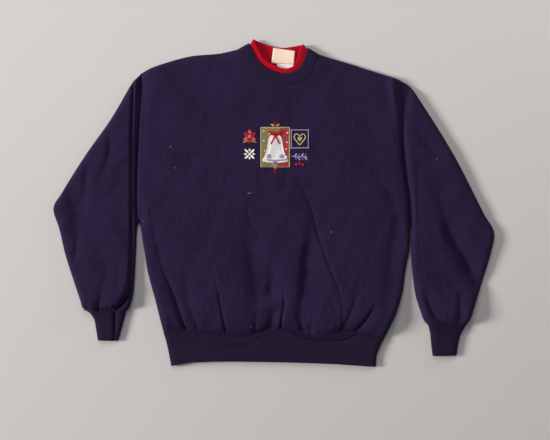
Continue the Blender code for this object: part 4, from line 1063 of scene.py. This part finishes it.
BAND_ROWS = np.concatenate((np.linspace(0, 0.06, 5), np.linspace(0.08, 0.24, 9),
                            (0.3, 0.4, 0.5, 0.6, 0.7, 0.8, 0.9, 0.96, 1.0)))
CUFF_ROWS = np.array((0.0, 0.02, 0.04, 0.06, 0.08, 0.11, 0.15, 0.22, 0.32, 0.44, 0.58, 0.72,
                      0.86, 0.95, 1.0))

waistband = make_band("waistband_rib", WAISTBAND, HEM_SEAM, BAND_EDGE, BAND_ROWS, BAND_CREASES, 41)
right_cuff, left_cuff = (
    make_band(name, table, table[0][1:], table[-1][1:], CUFF_ROWS, creases, seed)
    for name, table, creases, seed in (("right_cuff_rib", RIGHT_CUFF, RIGHT_CUFF_CREASES, 51),
                                       ("left_cuff_rib", LEFT_CUFF, (), 61)))
print("bands:", triangles(waistband), triangles(right_cuff), triangles(left_cuff), "triangles")

# %% [markdown]
# ## The collars
# The neck has two rib collars, one inside the other: a navy one that shows whole, and a
# red one that looks out above it. They are rings like the cuffs, but round a neck. The
# front halves are lifted by what lies under them. The navy one's back half lies on the
# floor, and the red one's lies on that.

# %% Collar rings
TIP_INWARDS = ((0.48, -0.88), (-0.51, -0.86))   # into the ring, at its two folded tips
TIP_REACH = 25.0
BACK_GIRTH = 0.78           # of the front half's length
COLLAR_WALL = 3.0
SEAM_DIP = 0.25             # the navy collar at its seam
SEAM_DIP_REACH = 0.09
NAVY_CROWN = 0.5            # and in the middle of its width
NAVY_RAISE = 0.4            # how far the ribs of each collar stand out
RED_RAISE = 0.6
COLLAR_ROWS = np.array((0.0, 0.06, 0.14, 0.26, 0.42, 0.6, 0.78, 0.92, 1.0))


def collar_rings(edge_pairs, front_levels, back_level, insets, turn):
    """Rings of a collar, each round the front from the right shoulder and back again."""
    ribs = rib_count(edge_pairs[0][0](EVENLY))
    front_share = np.linspace(0, 1, RIB_COLUMNS * ribs + 1)
    back_share = np.linspace(1, 0, RIB_COLUMNS * round(ribs * BACK_GIRTH) + 1)[1:-1]
    rings = []
    for (front_edge, back_edge), front_level, inset in zip(edge_pairs, front_levels, insets):
        ring = np.concatenate((front_edge(front_share), back_edge(back_share)))
        tips = (ring[0], ring[RIB_COLUMNS * ribs])
        for tip, inwards in zip(tips, TIP_INWARDS):
            ring = ring + inset * near(ring, (tip,), TIP_REACH)[:, None] * np.array(inwards)
        tips = (ring[0], ring[RIB_COLUMNS * ribs])
        away = np.min([np.linalg.norm(ring - tip, axis=1) for tip in tips], axis=0)
        is_front = np.arange(len(ring)) <= RIB_COLUMNS * ribs
        level = np.where(is_front, front_level, back_level)
        z = COLLAR_EDGE + (level - COLLAR_EDGE) * turned(away, turn)
        rings.append(with_height(ring, z))
    return np.array(rings), np.arange(len(rings[0])) / RIB_COLUMNS


def between_edges(first, second, share):
    """The front and the back line between two columns of the neck's tables."""
    def pair(rows):
        return lambda s: (1 - share) * neck_line(rows, first, s) + share * neck_line(rows, second, s)
    return pair(FRONT_NECK), pair(BACK_NECK)


navy_edges = [between_edges("seam", "navy", share) for share in COLLAR_ROWS]
seam_dips = SEAM_DIP * np.exp(-(COLLAR_ROWS / SEAM_DIP_REACH)**2)
navy_levels = COLLAR - seam_dips + NAVY_CROWN * np.sin(np.pi * COLLAR_ROWS)
navy_insets = np.zeros(len(COLLAR_ROWS))
navy_rings, navy_turns = collar_rings(navy_edges, navy_levels, 0.0, navy_insets, COLLAR_TURN)
outer_collar = ribbed_band("outer_collar_rib", navy_rings, navy_turns, navy_collar, True,
                           COLLAR_WALL, NAVY_RAISE)

RED_UNDER = 4.2             # how much lower the red collar lies than the navy one
RED_LIP = 2.6               # how much its free edge rises again
RED_BACK_LEVEL = 3.2        # its back half lies on the navy one's
red_shares = np.array((0.15, 0.55, 0.9))
RED_BACK_SHARES = (-0.6, 0.3, 0.9)  # it reaches lower down at the back
out_shares = np.array((0.05, 0.25, 0.5, 0.75, 1.0))
red_edges = [(between_edges("seam", "navy", share)[0], between_edges("seam", "navy", back_share)[1])
             for share, back_share in zip(red_shares, RED_BACK_SHARES)]
red_edges += [between_edges("navy", "red", share) for share in out_shares]
red_levels = np.concatenate((np.full(3, COLLAR - RED_UNDER),
                             COLLAR - RED_UNDER + RED_LIP * np.sin(np.pi / 2 * out_shares)))
red_insets = np.concatenate((np.full(3, RED_UNDER), RED_UNDER * (1 - out_shares)))
red_rings, red_turns = collar_rings(red_edges, red_levels, RED_BACK_LEVEL, red_insets,
                                    COLLAR_TURN - RED_UNDER)
inner_collar = ribbed_band("inner_collar_rib", red_rings, red_turns, red_rib, True,
                           COLLAR_WALL, RED_RAISE)
print("collars:", triangles(outer_collar), triangles(inner_collar), "triangles")

# %% [markdown]
# ## The labels
# Two woven labels hang from the back of the neck. A woven label is a small piece of
# satin ribbon with its ends turned under. These are blank. Fine crosswise threads are a
# bump pattern, and each label curls a little.

# %% Labels
WEFT_PITCH = 0.5 * MM


def label_material(name, colour, tint):
    material, tree, shader = add_material(name, 0.55, 0.1)
    cloth = add_node(tree, "ShaderNodeUVMap", uv_map="cloth").outputs["UV"]
    parts = add_node(tree, "ShaderNodeSeparateXYZ", {"Vector": cloth})
    weft = maths(tree, "SINE", maths(tree, "MULTIPLY", parts.outputs["Y"], 2 * np.pi / WEFT_PITCH))
    soiled = noise(tree, cloth, 90.0, 3.0)
    dress(tree, shader, blend(tree, soiled, colour, tint), weft, 0.3, 0.1 * MM)
    return material


def label_grid(corners, lift, curl, bow):
    """A label between its corners: its sides curl up, and its middle bows up."""
    low_left, low_right, high_right, high_left = (np.array(corner, float) for corner in corners)
    u, v = np.meshgrid(np.linspace(0, 1, 21), np.linspace(0, 1, 15))
    u3, v3 = u[..., None], v[..., None]
    low = (1 - u3) * low_left + u3 * low_right
    high = (1 - u3) * high_left + u3 * high_right
    plan = (1 - v3) * low + v3 * high
    z = lift + curl * (2 * u - 1)**2 + bow * np.sin(np.pi * v)
    return with_height(plan, z)


cream_woven = label_material("cream_label", (0.96, 0.79, 0.64), (0.86, 0.67, 0.50))
white_woven = label_material("white_label", (0.97, 0.86, 0.83), (0.92, 0.80, 0.78))
neck_label = cloth_piece("neck_label_cloth", label_grid(NECK_LABEL, 7.6, 0.8, 1.0), cream_woven, wall=0.6)
size_label = cloth_piece("size_label_cloth", label_grid(SIZE_LABEL, 6.4, 0.4, 0.5), white_woven, wall=0.5)
print("labels:", triangles(neck_label), triangles(size_label), "triangles")

# %% [markdown]
# ## Threads
# Embroidery is thousands of short straight stitches. Each stitch here is a bent line of
# three points: down at its ends, where it enters the cloth, and up in the middle. The
# tree turns every line into a round thread.

# %% The thread tree
thread_tree, thread_in, thread_out = new_tree("threads", (
    ("Radius", "NodeSocketFloat", 0.0004),
    ("Sides", "NodeSocketInt", 5),
    ("Material", "NodeSocketMaterial", None),
))
curves = add_node(thread_tree, "GeometryNodeMeshToCurve", {"Mesh": thread_in.outputs["Geometry"]})
profile = add_node(thread_tree, "GeometryNodeCurvePrimitiveCircle",
                   {"Resolution": thread_in.outputs["Sides"], "Radius": thread_in.outputs["Radius"]})
tubes = add_node(thread_tree, "GeometryNodeCurveToMesh",
                 {"Curve": curves.outputs["Curve"], "Profile Curve": profile.outputs["Curve"],
                  "Fill Caps": True})
finish_tree(thread_tree, tubes.outputs["Mesh"], thread_in.outputs["Material"], thread_out)


def thread_material(name, colour, shade):
    """Shiny rayon thread: its colour varies a little from stitch to stitch."""
    material, tree, shader = add_material(name, 0.42, 0.25, (*colour, 1))
    place = add_node(tree, "ShaderNodeTexCoord").outputs["Object"]
    uneven = noise(tree, place, 420.0, 2.0)
    twist = noise(tree, place, 3000.0, 1.0)
    dress(tree, shader, blend(tree, uneven, shade, colour), twist, 0.4, 0.1 * MM)
    return material


def lay_lines(name, lines, height_at, tree, **values):
    """Lays lines, whose third coordinate is a lift in mm, on the cloth and runs a tree on them."""
    points = np.concatenate(lines)
    points[:, 2] += height_at(points)
    ends = set(np.cumsum([len(line) for line in lines]) - 1)
    edges = [(i, i + 1) for i in range(len(points)) if i not in ends]
    mesh = bpy.data.meshes.new(name)
    mesh.from_pydata(((points + SHIFT) * MM).tolist(), edges, [])
    return grow(add_object(name, mesh), tree, **values)


def lift_line(line, lift):
    return np.pad(line, ((0, 0), (0, 1)), constant_values=lift)


print("thread tree:", len(thread_tree.nodes), "nodes")

# %% [markdown]
# ## Filling shapes with stitches
# A digitiser fills a shape by ruling lines across it at one angle and cutting them
# into stitches. The ruling finds where each line enters and leaves the outline. In a
# wide shape the stitches are kept short and staggered from row to row, like bricks, and
# in a narrow one a single stitch spans it, which is called satin.

# %% Stitch helpers
ROW_PITCH = 0.78
LOFT = 0.55                 # how far a stitch rises in its middle
BASE = 0.35                 # height of the stitches' ends above the cloth
LEAST_SPAN = 0.5            # no stitch where a shape is narrower
LEAST_STITCH = 0.8
STAGGER = 0.37              # from row to row, as a share of a stitch
SATIN_LEAN = 0.3            # how far each half of a satin stitch leans along its line
SPAN = 12.0                 # a stitch this long spans any small shape
threads = {}


def spin(angle):
    """A matrix. Points as rows before it are turned clockwise by the angle, in degrees.

    A single point after it is turned back.
    """
    cosine, sine = np.cos(np.radians(angle)), np.sin(np.radians(angle))
    return np.array(((cosine, -sine), (sine, cosine)))


def keep_stitch(colour, start, end, lift):
    """One stitch: its three places, and how high each stands above the cloth."""
    middle = (start + end) / 2
    rise = np.array((BASE, BASE + LOFT, BASE)) + lift
    threads.setdefault(colour, []).append(with_height(np.array((start, middle, end)), rise))


def fill_shape(colour, outline, angle, longest=5.0, lift=0.0, pitch=ROW_PITCH):
    """Fills a closed outline with rows of stitches at an angle in degrees."""
    ruled = spin(angle)
    flat = np.asarray(outline, float) @ ruled
    ends = np.roll(flat, -1, axis=0)
    for count, level in enumerate(np.arange(flat[:, 1].min() + pitch / 2, flat[:, 1].max(), pitch)):
        crosses = (flat[:, 1] <= level) != (ends[:, 1] <= level)
        share = (level - flat[crosses, 1]) / (ends[crosses, 1] - flat[crosses, 1])
        cuts = np.sort(flat[crosses, 0] + share * (ends[crosses, 0] - flat[crosses, 0]))
        for low, high in zip(cuts[::2], cuts[1::2]):
            if high - low < LEAST_SPAN:
                continue
            stagger = longest * ((count * STAGGER) % 1.0)
            stops = np.arange(low - stagger, high, longest)
            stops = stops[(stops > low + LEAST_STITCH) & (stops < high - LEAST_STITCH)]
            stops = np.concatenate(([low], stops, [high]))
            for start, end in zip(stops[:-1], stops[1:]):
                keep_stitch(colour, ruled @ (start, level), ruled @ (end, level), lift)


def fill_small(colour, outline, angle, lift=0.0):
    """Fills a small shape with stitches that each span it."""
    fill_shape(colour, outline, angle, SPAN, lift)


def satin_line(colour, path, width, lift=0.0):
    """A narrow satin column: short stitches across a path."""
    path = np.asarray(path, float)
    shares = np.linspace(0, 1, max(2, round(steps(path).sum() / ROW_PITCH)))
    line = np.stack([np.interp(shares, lengths(path), path[:, axis]) for axis in (0, 1)], axis=-1)
    for point, forward, side in zip(line, *headings(line)):
        half = side * width / 2 + forward * SATIN_LEAN
        keep_stitch(colour, point - half, point + half, lift)


def leaf(centre, angle, length, width, points=12):
    """The outline of a leaf or petal that starts at the centre and points along the angle."""
    share = np.linspace(0, 1, points)
    half = width / 2 * np.sin(np.pi * share**0.8)
    upper = np.stack((share * length, half), axis=1)
    outline = np.concatenate((upper, (upper * (1, -1))[-2:0:-1]))
    return outline @ spin(-angle) + np.asarray(centre, float)


def disc(centre, radius, points=14):
    turn = np.linspace(0, 2 * np.pi, points, endpoint=False)
    return np.asarray(centre, float) + radius * np.stack((np.cos(turn), np.sin(turn)), axis=1)


def round_shape(points, centre=(0, 0), count=60):
    """A smooth closed outline through a few points."""
    points = np.asarray(points, float)
    ring = np.concatenate((points[-2:], points, points[:3]))
    knots = np.arange(len(ring)) - 2.0
    outline = through(knots, ring, np.linspace(0, len(points), count, endpoint=False))
    return outline + np.asarray(centre, float)


# %% [markdown]
# ## The embroidered motifs
# The chest carries a tall panel with smaller motifs on both sides. The panel shows a
# white bell with a red bow in a little snow, on a ground half olive and half brick.
# Beside it are a red winter flower, a white star, a gold heart in a lilac frame, and a
# sprig with berries. All are common ornaments, drawn from arcs, leaves and discs.

# %% The panel's ground
PANEL = ((-27.0, 77.0), (33.0, 160.0))      # low and high corners
panel_middle = np.mean(PANEL, axis=0)
(x_low, y_low), (x_high, y_high) = PANEL
SPLIT_LOW = x_low + 26.0    # where the two halves of the ground meet
SPLIT_TOP = x_high - 20.0
olive_side = ((x_low, y_low), (SPLIT_LOW, y_low), (SPLIT_TOP, y_high), (x_low, y_high))
brick_side = ((SPLIT_LOW, y_low), (x_high, y_low), (x_high, y_high), (SPLIT_TOP, y_high))
GROUNDS = (("olive", "gold", olive_side, 62.0), ("brick", "rose", brick_side, 118.0))
UNDER_PITCH, OVER_PITCH = 1.15, 2.9         # a close layer, and open rows over it
for under, over, side, angle in GROUNDS:
    fill_shape(under, side, angle, 3.4, 0.0, UNDER_PITCH)
    fill_shape(over, side, angle + 50, 2.6, 0.35, OVER_PITCH)

SNOW = ((-24, 76), (-12, 70), (-24, 55), (25, 52), (-22, 34), (-24, 12), (24, 22), (26, 72),
        (-19, 23), (23, 38))
for place in SNOW:
    fill_small("white", disc(np.array((panel_middle[0], y_low)) + place, 1.5, 8), 30.0, 0.7)

BORDER = ((x_low, y_low), (x_high, y_low), (x_high, y_high), (x_low, y_high), (x_low, y_low))
BORDER_WIDTH = 1.9
for start, end in zip(BORDER[:-1], BORDER[1:]):
    is_low = start[1] == end[1] == y_low
    satin_line("olive" if is_low else "gold", (start, end), BORDER_WIDTH, 0.5)

# %% The bell
BELL = np.array(((0, 30), (9, 28), (14, 20), (16, 7), (19, -7), (23, -17), (27, -24), (22, -28),
                 (0, -30), (-22, -28), (-27, -24), (-23, -17), (-19, -7), (-16, 7), (-14, 20),
                 (-9, 28)))
bell_centre = panel_middle + (0.0, -3.0)
bell = round_shape(BELL, bell_centre, 96)
for way in (-1, 1):
    half = bell[way * (bell[:, 0] - bell_centre[0]) >= -0.1]
    fill_shape("white", half, -12.0 * way, 9.0, 0.7)
fill_shape("white", round_shape(BELL * (0.62, 0.66), bell_centre + (0, 1.5)), 90.0, 8.0, 1.3)
rim = round_shape(BELL[6:11] * (0.86, 0.8), bell_centre + (0, -1), 40)[:24]
satin_line("lilac", rim, 3.2, 1.9)
fill_small("lilac", disc(bell_centre + (0, -31), 5.6), 0.0, 1.2)
fill_small("purple", disc(bell_centre + (0, -31), 2.4), 90.0, 2.0)
for side in (-1, 1):
    fill_small("lilac", disc(bell_centre + (side * 13.5, -16), 4.4), 45.0, 2.0)
    fill_small("red", leaf(bell_centre + (0, 29), 90 - side * 62, 17, 9), 180 - side * 62, 2.0)
    ribbon = np.array(((0, 28), (side * 4, 20), (side * 9, 10))) + bell_centre
    satin_line("red", smooth(ribbon, np.linspace(0, 1, 12)), 2.8, 2.4)
fill_small("deep_red", disc(bell_centre + (0, 29), 3.0), 0.0, 3.0)
print("panel stitches:", sum(map(len, threads.values())))

# %% Finials
BUD = np.array(((0, -1), (4.5, 5), (0, 11), (-4.5, 5)))
for level, way in ((y_high, 1), (y_low, -1)):
    foot = np.array((panel_middle[0], level + way * 3.0))
    fill_small("deep_red", foot + BUD * (1, way), 0.0, 0.3)
    for side in (-1, 1):
        leaf_angle = 90 - way * 90 + way * (90 - side * 58)
        fill_small("gold", leaf(foot + (side * 2, 0), leaf_angle, 9, 3.4), 30.0, 0.2)

# %% Flower and star
FLOWER = np.array((-51.0, 141.0))
SEED_TURN = 1.257           # radians from one seed of the flower to the next
for turn in range(6):
    petal = leaf(FLOWER, 90 + 60 * turn, 15.5, 8.5)
    fill_small("red" if turn % 2 else "rose", petal, 60 * turn, 0.3)
for turn in range(6):
    fill_small("deep_red", leaf(FLOWER, 60 + 60 * turn, 9.0, 4.0), 60 * turn - 30, 0.9)
for turn in range(5):
    fill_small("gold", disc(FLOWER + 2.4 * heading(turn * SEED_TURN), 1.2, 8), 40.0 * turn, 1.5)
for angle in (205, 335):
    fill_small("olive", leaf(FLOWER + (0, -6), angle, 17, 6), angle + 60, 0.0)

STAR = np.array((-51.0, 104.0))
SHORT_RAY, LONG_RAY = (5.5, 6.5, 3.8), (2.6, 12.5, 4.6)     # start, length and width
for turn in range(8):
    out, size, width = LONG_RAY if turn % 2 else SHORT_RAY
    ray = leaf(STAR + out * heading(turn * np.pi / 4), 45 * turn, size, width)
    fill_small("white", ray, 45 * turn + 90, 0.5)
fill_small("white", disc(STAR, 2.4), 0.0, 0.8)

# %% Framed heart and sprig
FRAME = np.array((55.0, 136.0))
FRAME_HALF = (18.0, 19.0)
OVERSHOOT = 1.06            # each side of the frame runs a little past its corners
for sign in (-1, 1):
    for axis in (0, 1):
        reach = np.array(FRAME_HALF)
        reach[1 - axis] *= OVERSHOOT
        across = np.array((sign, sign))
        across[1 - axis] = -1
        start = FRAME + reach * across
        across[1 - axis] = 1
        satin_line("lilac", (start, FRAME + reach * across), 1.5, 0.3)
HEART = np.array(((0, -12), (6.5, -5), (11.5, 2), (10, 9), (4.5, 10), (0, 5.5), (-4.5, 10),
                  (-10, 9), (-11.5, 2), (-6.5, -5)))
heart = round_shape(HEART, FRAME, 72)
satin_line("gold", np.concatenate((heart, heart[:1])), 2.2, 0.4)
fill_small("gold", round_shape(HEART * 0.42, FRAME, 40), 0.0, 0.4)

SPRIG = np.array((55.0, 98.0))
satin_line("lilac", np.array(((-17, 2), (-6, 0), (6, 1), (16, -1))) + SPRIG, 1.5, 0.2)
for step, place in enumerate((-11, -4, 3, 10)):
    for side in (-1, 1):
        shade = "lilac" if (step + (side > 0)) % 2 else "purple"
        leaflet = leaf(SPRIG + (place, 0.5), side * 55, 9.5, 3.6)
        fill_small(shade, leaflet, side * 55 + 90, 0.2)
for place in ((-7, -16), (0, -14), (7, -16.5)):
    fill_small("deep_red", disc(SPRIG + place, 3.3), 20.0, 0.6)
    fill_small("rose", disc(SPRIG + place + (-0.8, 0.9), 1.1, 8), 20.0, 1.3)
print("stitches by colour:", {colour: len(stitches) for colour, stitches in threads.items()})

# %% Thread pieces
THREAD_RADIUS = 0.42
THREAD_COLOURS = {
    "white": ((0.98, 0.96, 0.93), (0.90, 0.87, 0.84)),
    "olive": ((0.33, 0.28, 0.09), (0.20, 0.17, 0.05)),
    "brick": ((0.50, 0.05, 0.04), (0.32, 0.03, 0.02)),
    "gold": ((0.62, 0.54, 0.29), (0.42, 0.34, 0.15)),
    "red": ((0.62, 0.02, 0.04), (0.44, 0.01, 0.03)),
    "rose": ((0.78, 0.16, 0.18), (0.60, 0.07, 0.10)),
    "deep_red": ((0.36, 0.006, 0.03), (0.24, 0.004, 0.02)),
    "lilac": ((0.47, 0.40, 0.58), (0.36, 0.30, 0.47)),
    "purple": ((0.20, 0.13, 0.42), (0.13, 0.08, 0.30)),
}
thread_pieces = {}
for colour, (light_tone, dark_tone) in THREAD_COLOURS.items():
    material = thread_material("thread_" + colour, light_tone, dark_tone)
    thread_pieces[colour] = lay_lines("embroidery_" + colour, threads[colour], body_height,
                                      thread_tree, Radius=THREAD_RADIUS * MM, Material=material)
print("thread triangles:", {colour: triangles(piece) for colour, piece in thread_pieces.items()})

# %% [markdown]
# ## Seam stitches
# A coverstitch machine leaves two rows of small stitches beside the collar seam. They
# follow a path, so a tree resamples the path at the stitch pitch and sets one small
# rounded stitch on every point, turned along the path.

# %% The stitch tree
stitch_tree, stitch_in, stitch_out = new_tree("seam_stitches", (
    ("Pitch", "NodeSocketFloat", 0.003),
    ("Length", "NodeSocketFloat", 0.0022),
    ("Width", "NodeSocketFloat", 0.0007),
    ("Material", "NodeSocketMaterial", None),
))
stitch_path = add_node(stitch_tree, "GeometryNodeMeshToCurve", {"Mesh": stitch_in.outputs["Geometry"]})
stitch_points = add_node(stitch_tree, "GeometryNodeResampleCurve",
                         {"Curve": stitch_path.outputs["Curve"], "Length": stitch_in.outputs["Pitch"]},
                         mode="LENGTH")
bead = add_node(stitch_tree, "GeometryNodeMeshUVSphere", {"Segments": 6, "Rings": 4, "Radius": 0.5})
bead_size = add_node(stitch_tree, "ShaderNodeCombineXYZ",
                     {"X": stitch_in.outputs["Length"], "Y": stitch_in.outputs["Width"],
                      "Z": stitch_in.outputs["Width"]})
tangent = add_node(stitch_tree, "GeometryNodeInputTangent").outputs["Tangent"]
aligned = add_node(stitch_tree, "FunctionNodeAlignRotationToVector", {"Vector": tangent}, axis="X")
placed = add_node(stitch_tree, "GeometryNodeInstanceOnPoints",
                  {"Points": stitch_points.outputs["Curve"], "Instance": bead.outputs["Mesh"],
                   "Rotation": aligned.outputs["Rotation"], "Scale": bead_size.outputs["Vector"]})
finish_tree(stitch_tree, placed.outputs["Instances"], stitch_in.outputs["Material"], stitch_out)
print("stitch tree:", len(stitch_tree.nodes), "nodes")

# %% Seam stitches in place
ROW_GAPS = (2.6, 5.6)       # from the seam to the two rows
STITCH_LIFT = 0.15
sewing_thread = thread_material("sewing_thread", (0.045, 0.034, 0.075), (0.030, 0.022, 0.052))
neck_path = neck_line(FRONT_NECK, "seam", np.linspace(0.03, 0.97, 120))
to_chest = -headings(neck_path)[1]
collar_rows = [lift_line(neck_path + gap * to_chest, STITCH_LIFT) for gap in ROW_GAPS]
collar_stitches = lay_lines("collar_stitches", collar_rows, front_height, stitch_tree,
                            Material=sewing_thread)
print("seam stitches:", triangles(collar_stitches), "triangles")

# %% [markdown]
# ## Lint
# Dark cloth always carries some lint. A few pale fibres lie where the photo has them,
# as short bits of thread.

# %% Lint specks
Speck = namedtuple("Speck", "pixel length angle")
SPECKS = (
    Speck((249.5, 193.5), 8.0, 20),
    Speck((143, 221), 2.4, 70),
    Speck((176, 168), 2.2, 130),
    Speck((331, 232), 2.2, 100),
    Speck((171, 147), 3.0, 45),
    Speck((251, 326), 2.0, 30),
    Speck((436, 159), 2.4, 80),
)
lint_material = thread_material("lint_fibre", (0.55, 0.52, 0.55), (0.40, 0.38, 0.42))
LINT_LIFT = 0.5
LINT_RADIUS = 0.38
BEND = np.array((-0.5, -0.2, 0.2, 0.5))     # where along a fibre its points lie


def speck_line(speck):
    along = speck.length * heading(np.radians(speck.angle))
    side = np.array((-along[1], along[0])) * 0.25
    return np.array(photo_place(*speck.pixel)) + BEND[:, None] * along + (BEND**2)[:, None] * side


def grid_height(points):
    """The height of the nearest point of the front or the left sleeve."""
    cloth = np.concatenate((front_points.reshape(-1, 3), left_points.reshape(-1, 3)))
    cloth = cloth[cloth[:, 2] > EDGE]
    nearest = [np.argmin(np.linalg.norm(cloth[:, :2] - point[:2], axis=1)) for point in points]
    return cloth[nearest, 2]


lint_lines = [lift_line(speck_line(speck), LINT_LIFT) for speck in SPECKS]
lint = lay_lines("lint_specks", lint_lines, grid_height, thread_tree,
                 Radius=LINT_RADIUS * MM, Sides=4, Material=lint_material)
print("lint:", len(lint_lines), "fibres")

# %% [markdown]
# ## The floor
# The sweatshirt lies on a seamless pale grey background. A large plane is enough, with
# a material that is almost plain.

# %% Floor
FLOOR_HALF = 5.0
FLOOR_DROP = 0.0003
PAPER = (0.594, 0.571, 0.553)
PALER_PAPER = (0.614, 0.591, 0.573)
corners = [(x * FLOOR_HALF, y * FLOOR_HALF, -FLOOR_DROP) for x, y in ((-1, -1), (1, -1), (1, 1), (-1, 1))]
floor_mesh = bpy.data.meshes.new("floor")
floor_mesh.from_pydata(corners, [], [(0, 1, 2, 3)])
floor_paper, paper_tree, paper_shader = add_material("floor_paper", 0.85)
grain = noise(paper_tree, add_node(paper_tree, "ShaderNodeTexCoord").outputs["Object"], 3.0, 2.0)
paper_tree.links.new(blend(paper_tree, grain, PAPER, PALER_PAPER), paper_shader.inputs["Base Color"])
floor = add_object("floor", floor_mesh, floor_paper)
floor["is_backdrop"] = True
print("floor:", 2 * FLOOR_HALF, "m wide")

# %% [markdown]
# ## Attaching the pieces
# Every piece rides on the one body, and a piece of cloth also stands for its solid, which
# is hidden. The threads and the lint ride on the same body.

# %% Ride and replace
Role = namedtuple("Role", "piece node slot flat area rests")
ROLES = (
    Role(front, "front", "navy_fleece", (0.585, 0.62), 0.325, ["back_panel"]),
    Role(back, "back", "navy_fleece", (0.585, 0.62), 0.34, ["floor"]),
    Role(right_sleeve, "right_sleeve", "navy_fleece", (0.62, 0.42), 0.155, ["floor"]),
    Role(left_sleeve, "left_sleeve", "navy_fleece", (0.62, 0.44), 0.165, ["floor"]),
    Role(waistband, "waistband", "navy_rib", (0.92, 0.068), None, ["floor"]),
    Role(right_cuff, "right_cuff", "navy_rib", (0.140, 0.060), None, ["floor"]),
    Role(left_cuff, "left_cuff", "navy_rib", (0.140, 0.063), None, ["floor"]),
    Role(outer_collar, "outer_collar", "navy_rib", (0.43, 0.027), None, ["back_panel"]),
    Role(inner_collar, "inner_collar", "red_rib", (0.40, 0.030), None, ["outer_collar_rib"]),
    Role(neck_label, "neck_label", "cream_label", (0.048, 0.03), None, ["inner_collar_rib"]),
    Role(size_label, "size_label", "white_label", (0.035, 0.022), None, ["inner_collar_rib"]),
)
for role in ROLES:
    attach(role.piece, "root")
    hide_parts(role.node)
for piece in (*thread_pieces.values(), collar_stitches, lint):
    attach(piece, "root")
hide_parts("embroidered_panel")

# %% Sizes
visual_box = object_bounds()
for label, box in (("solids", cad_box), ("visual", visual_box)):
    print(label, [round(value, 4) for corner in box for value in corner])
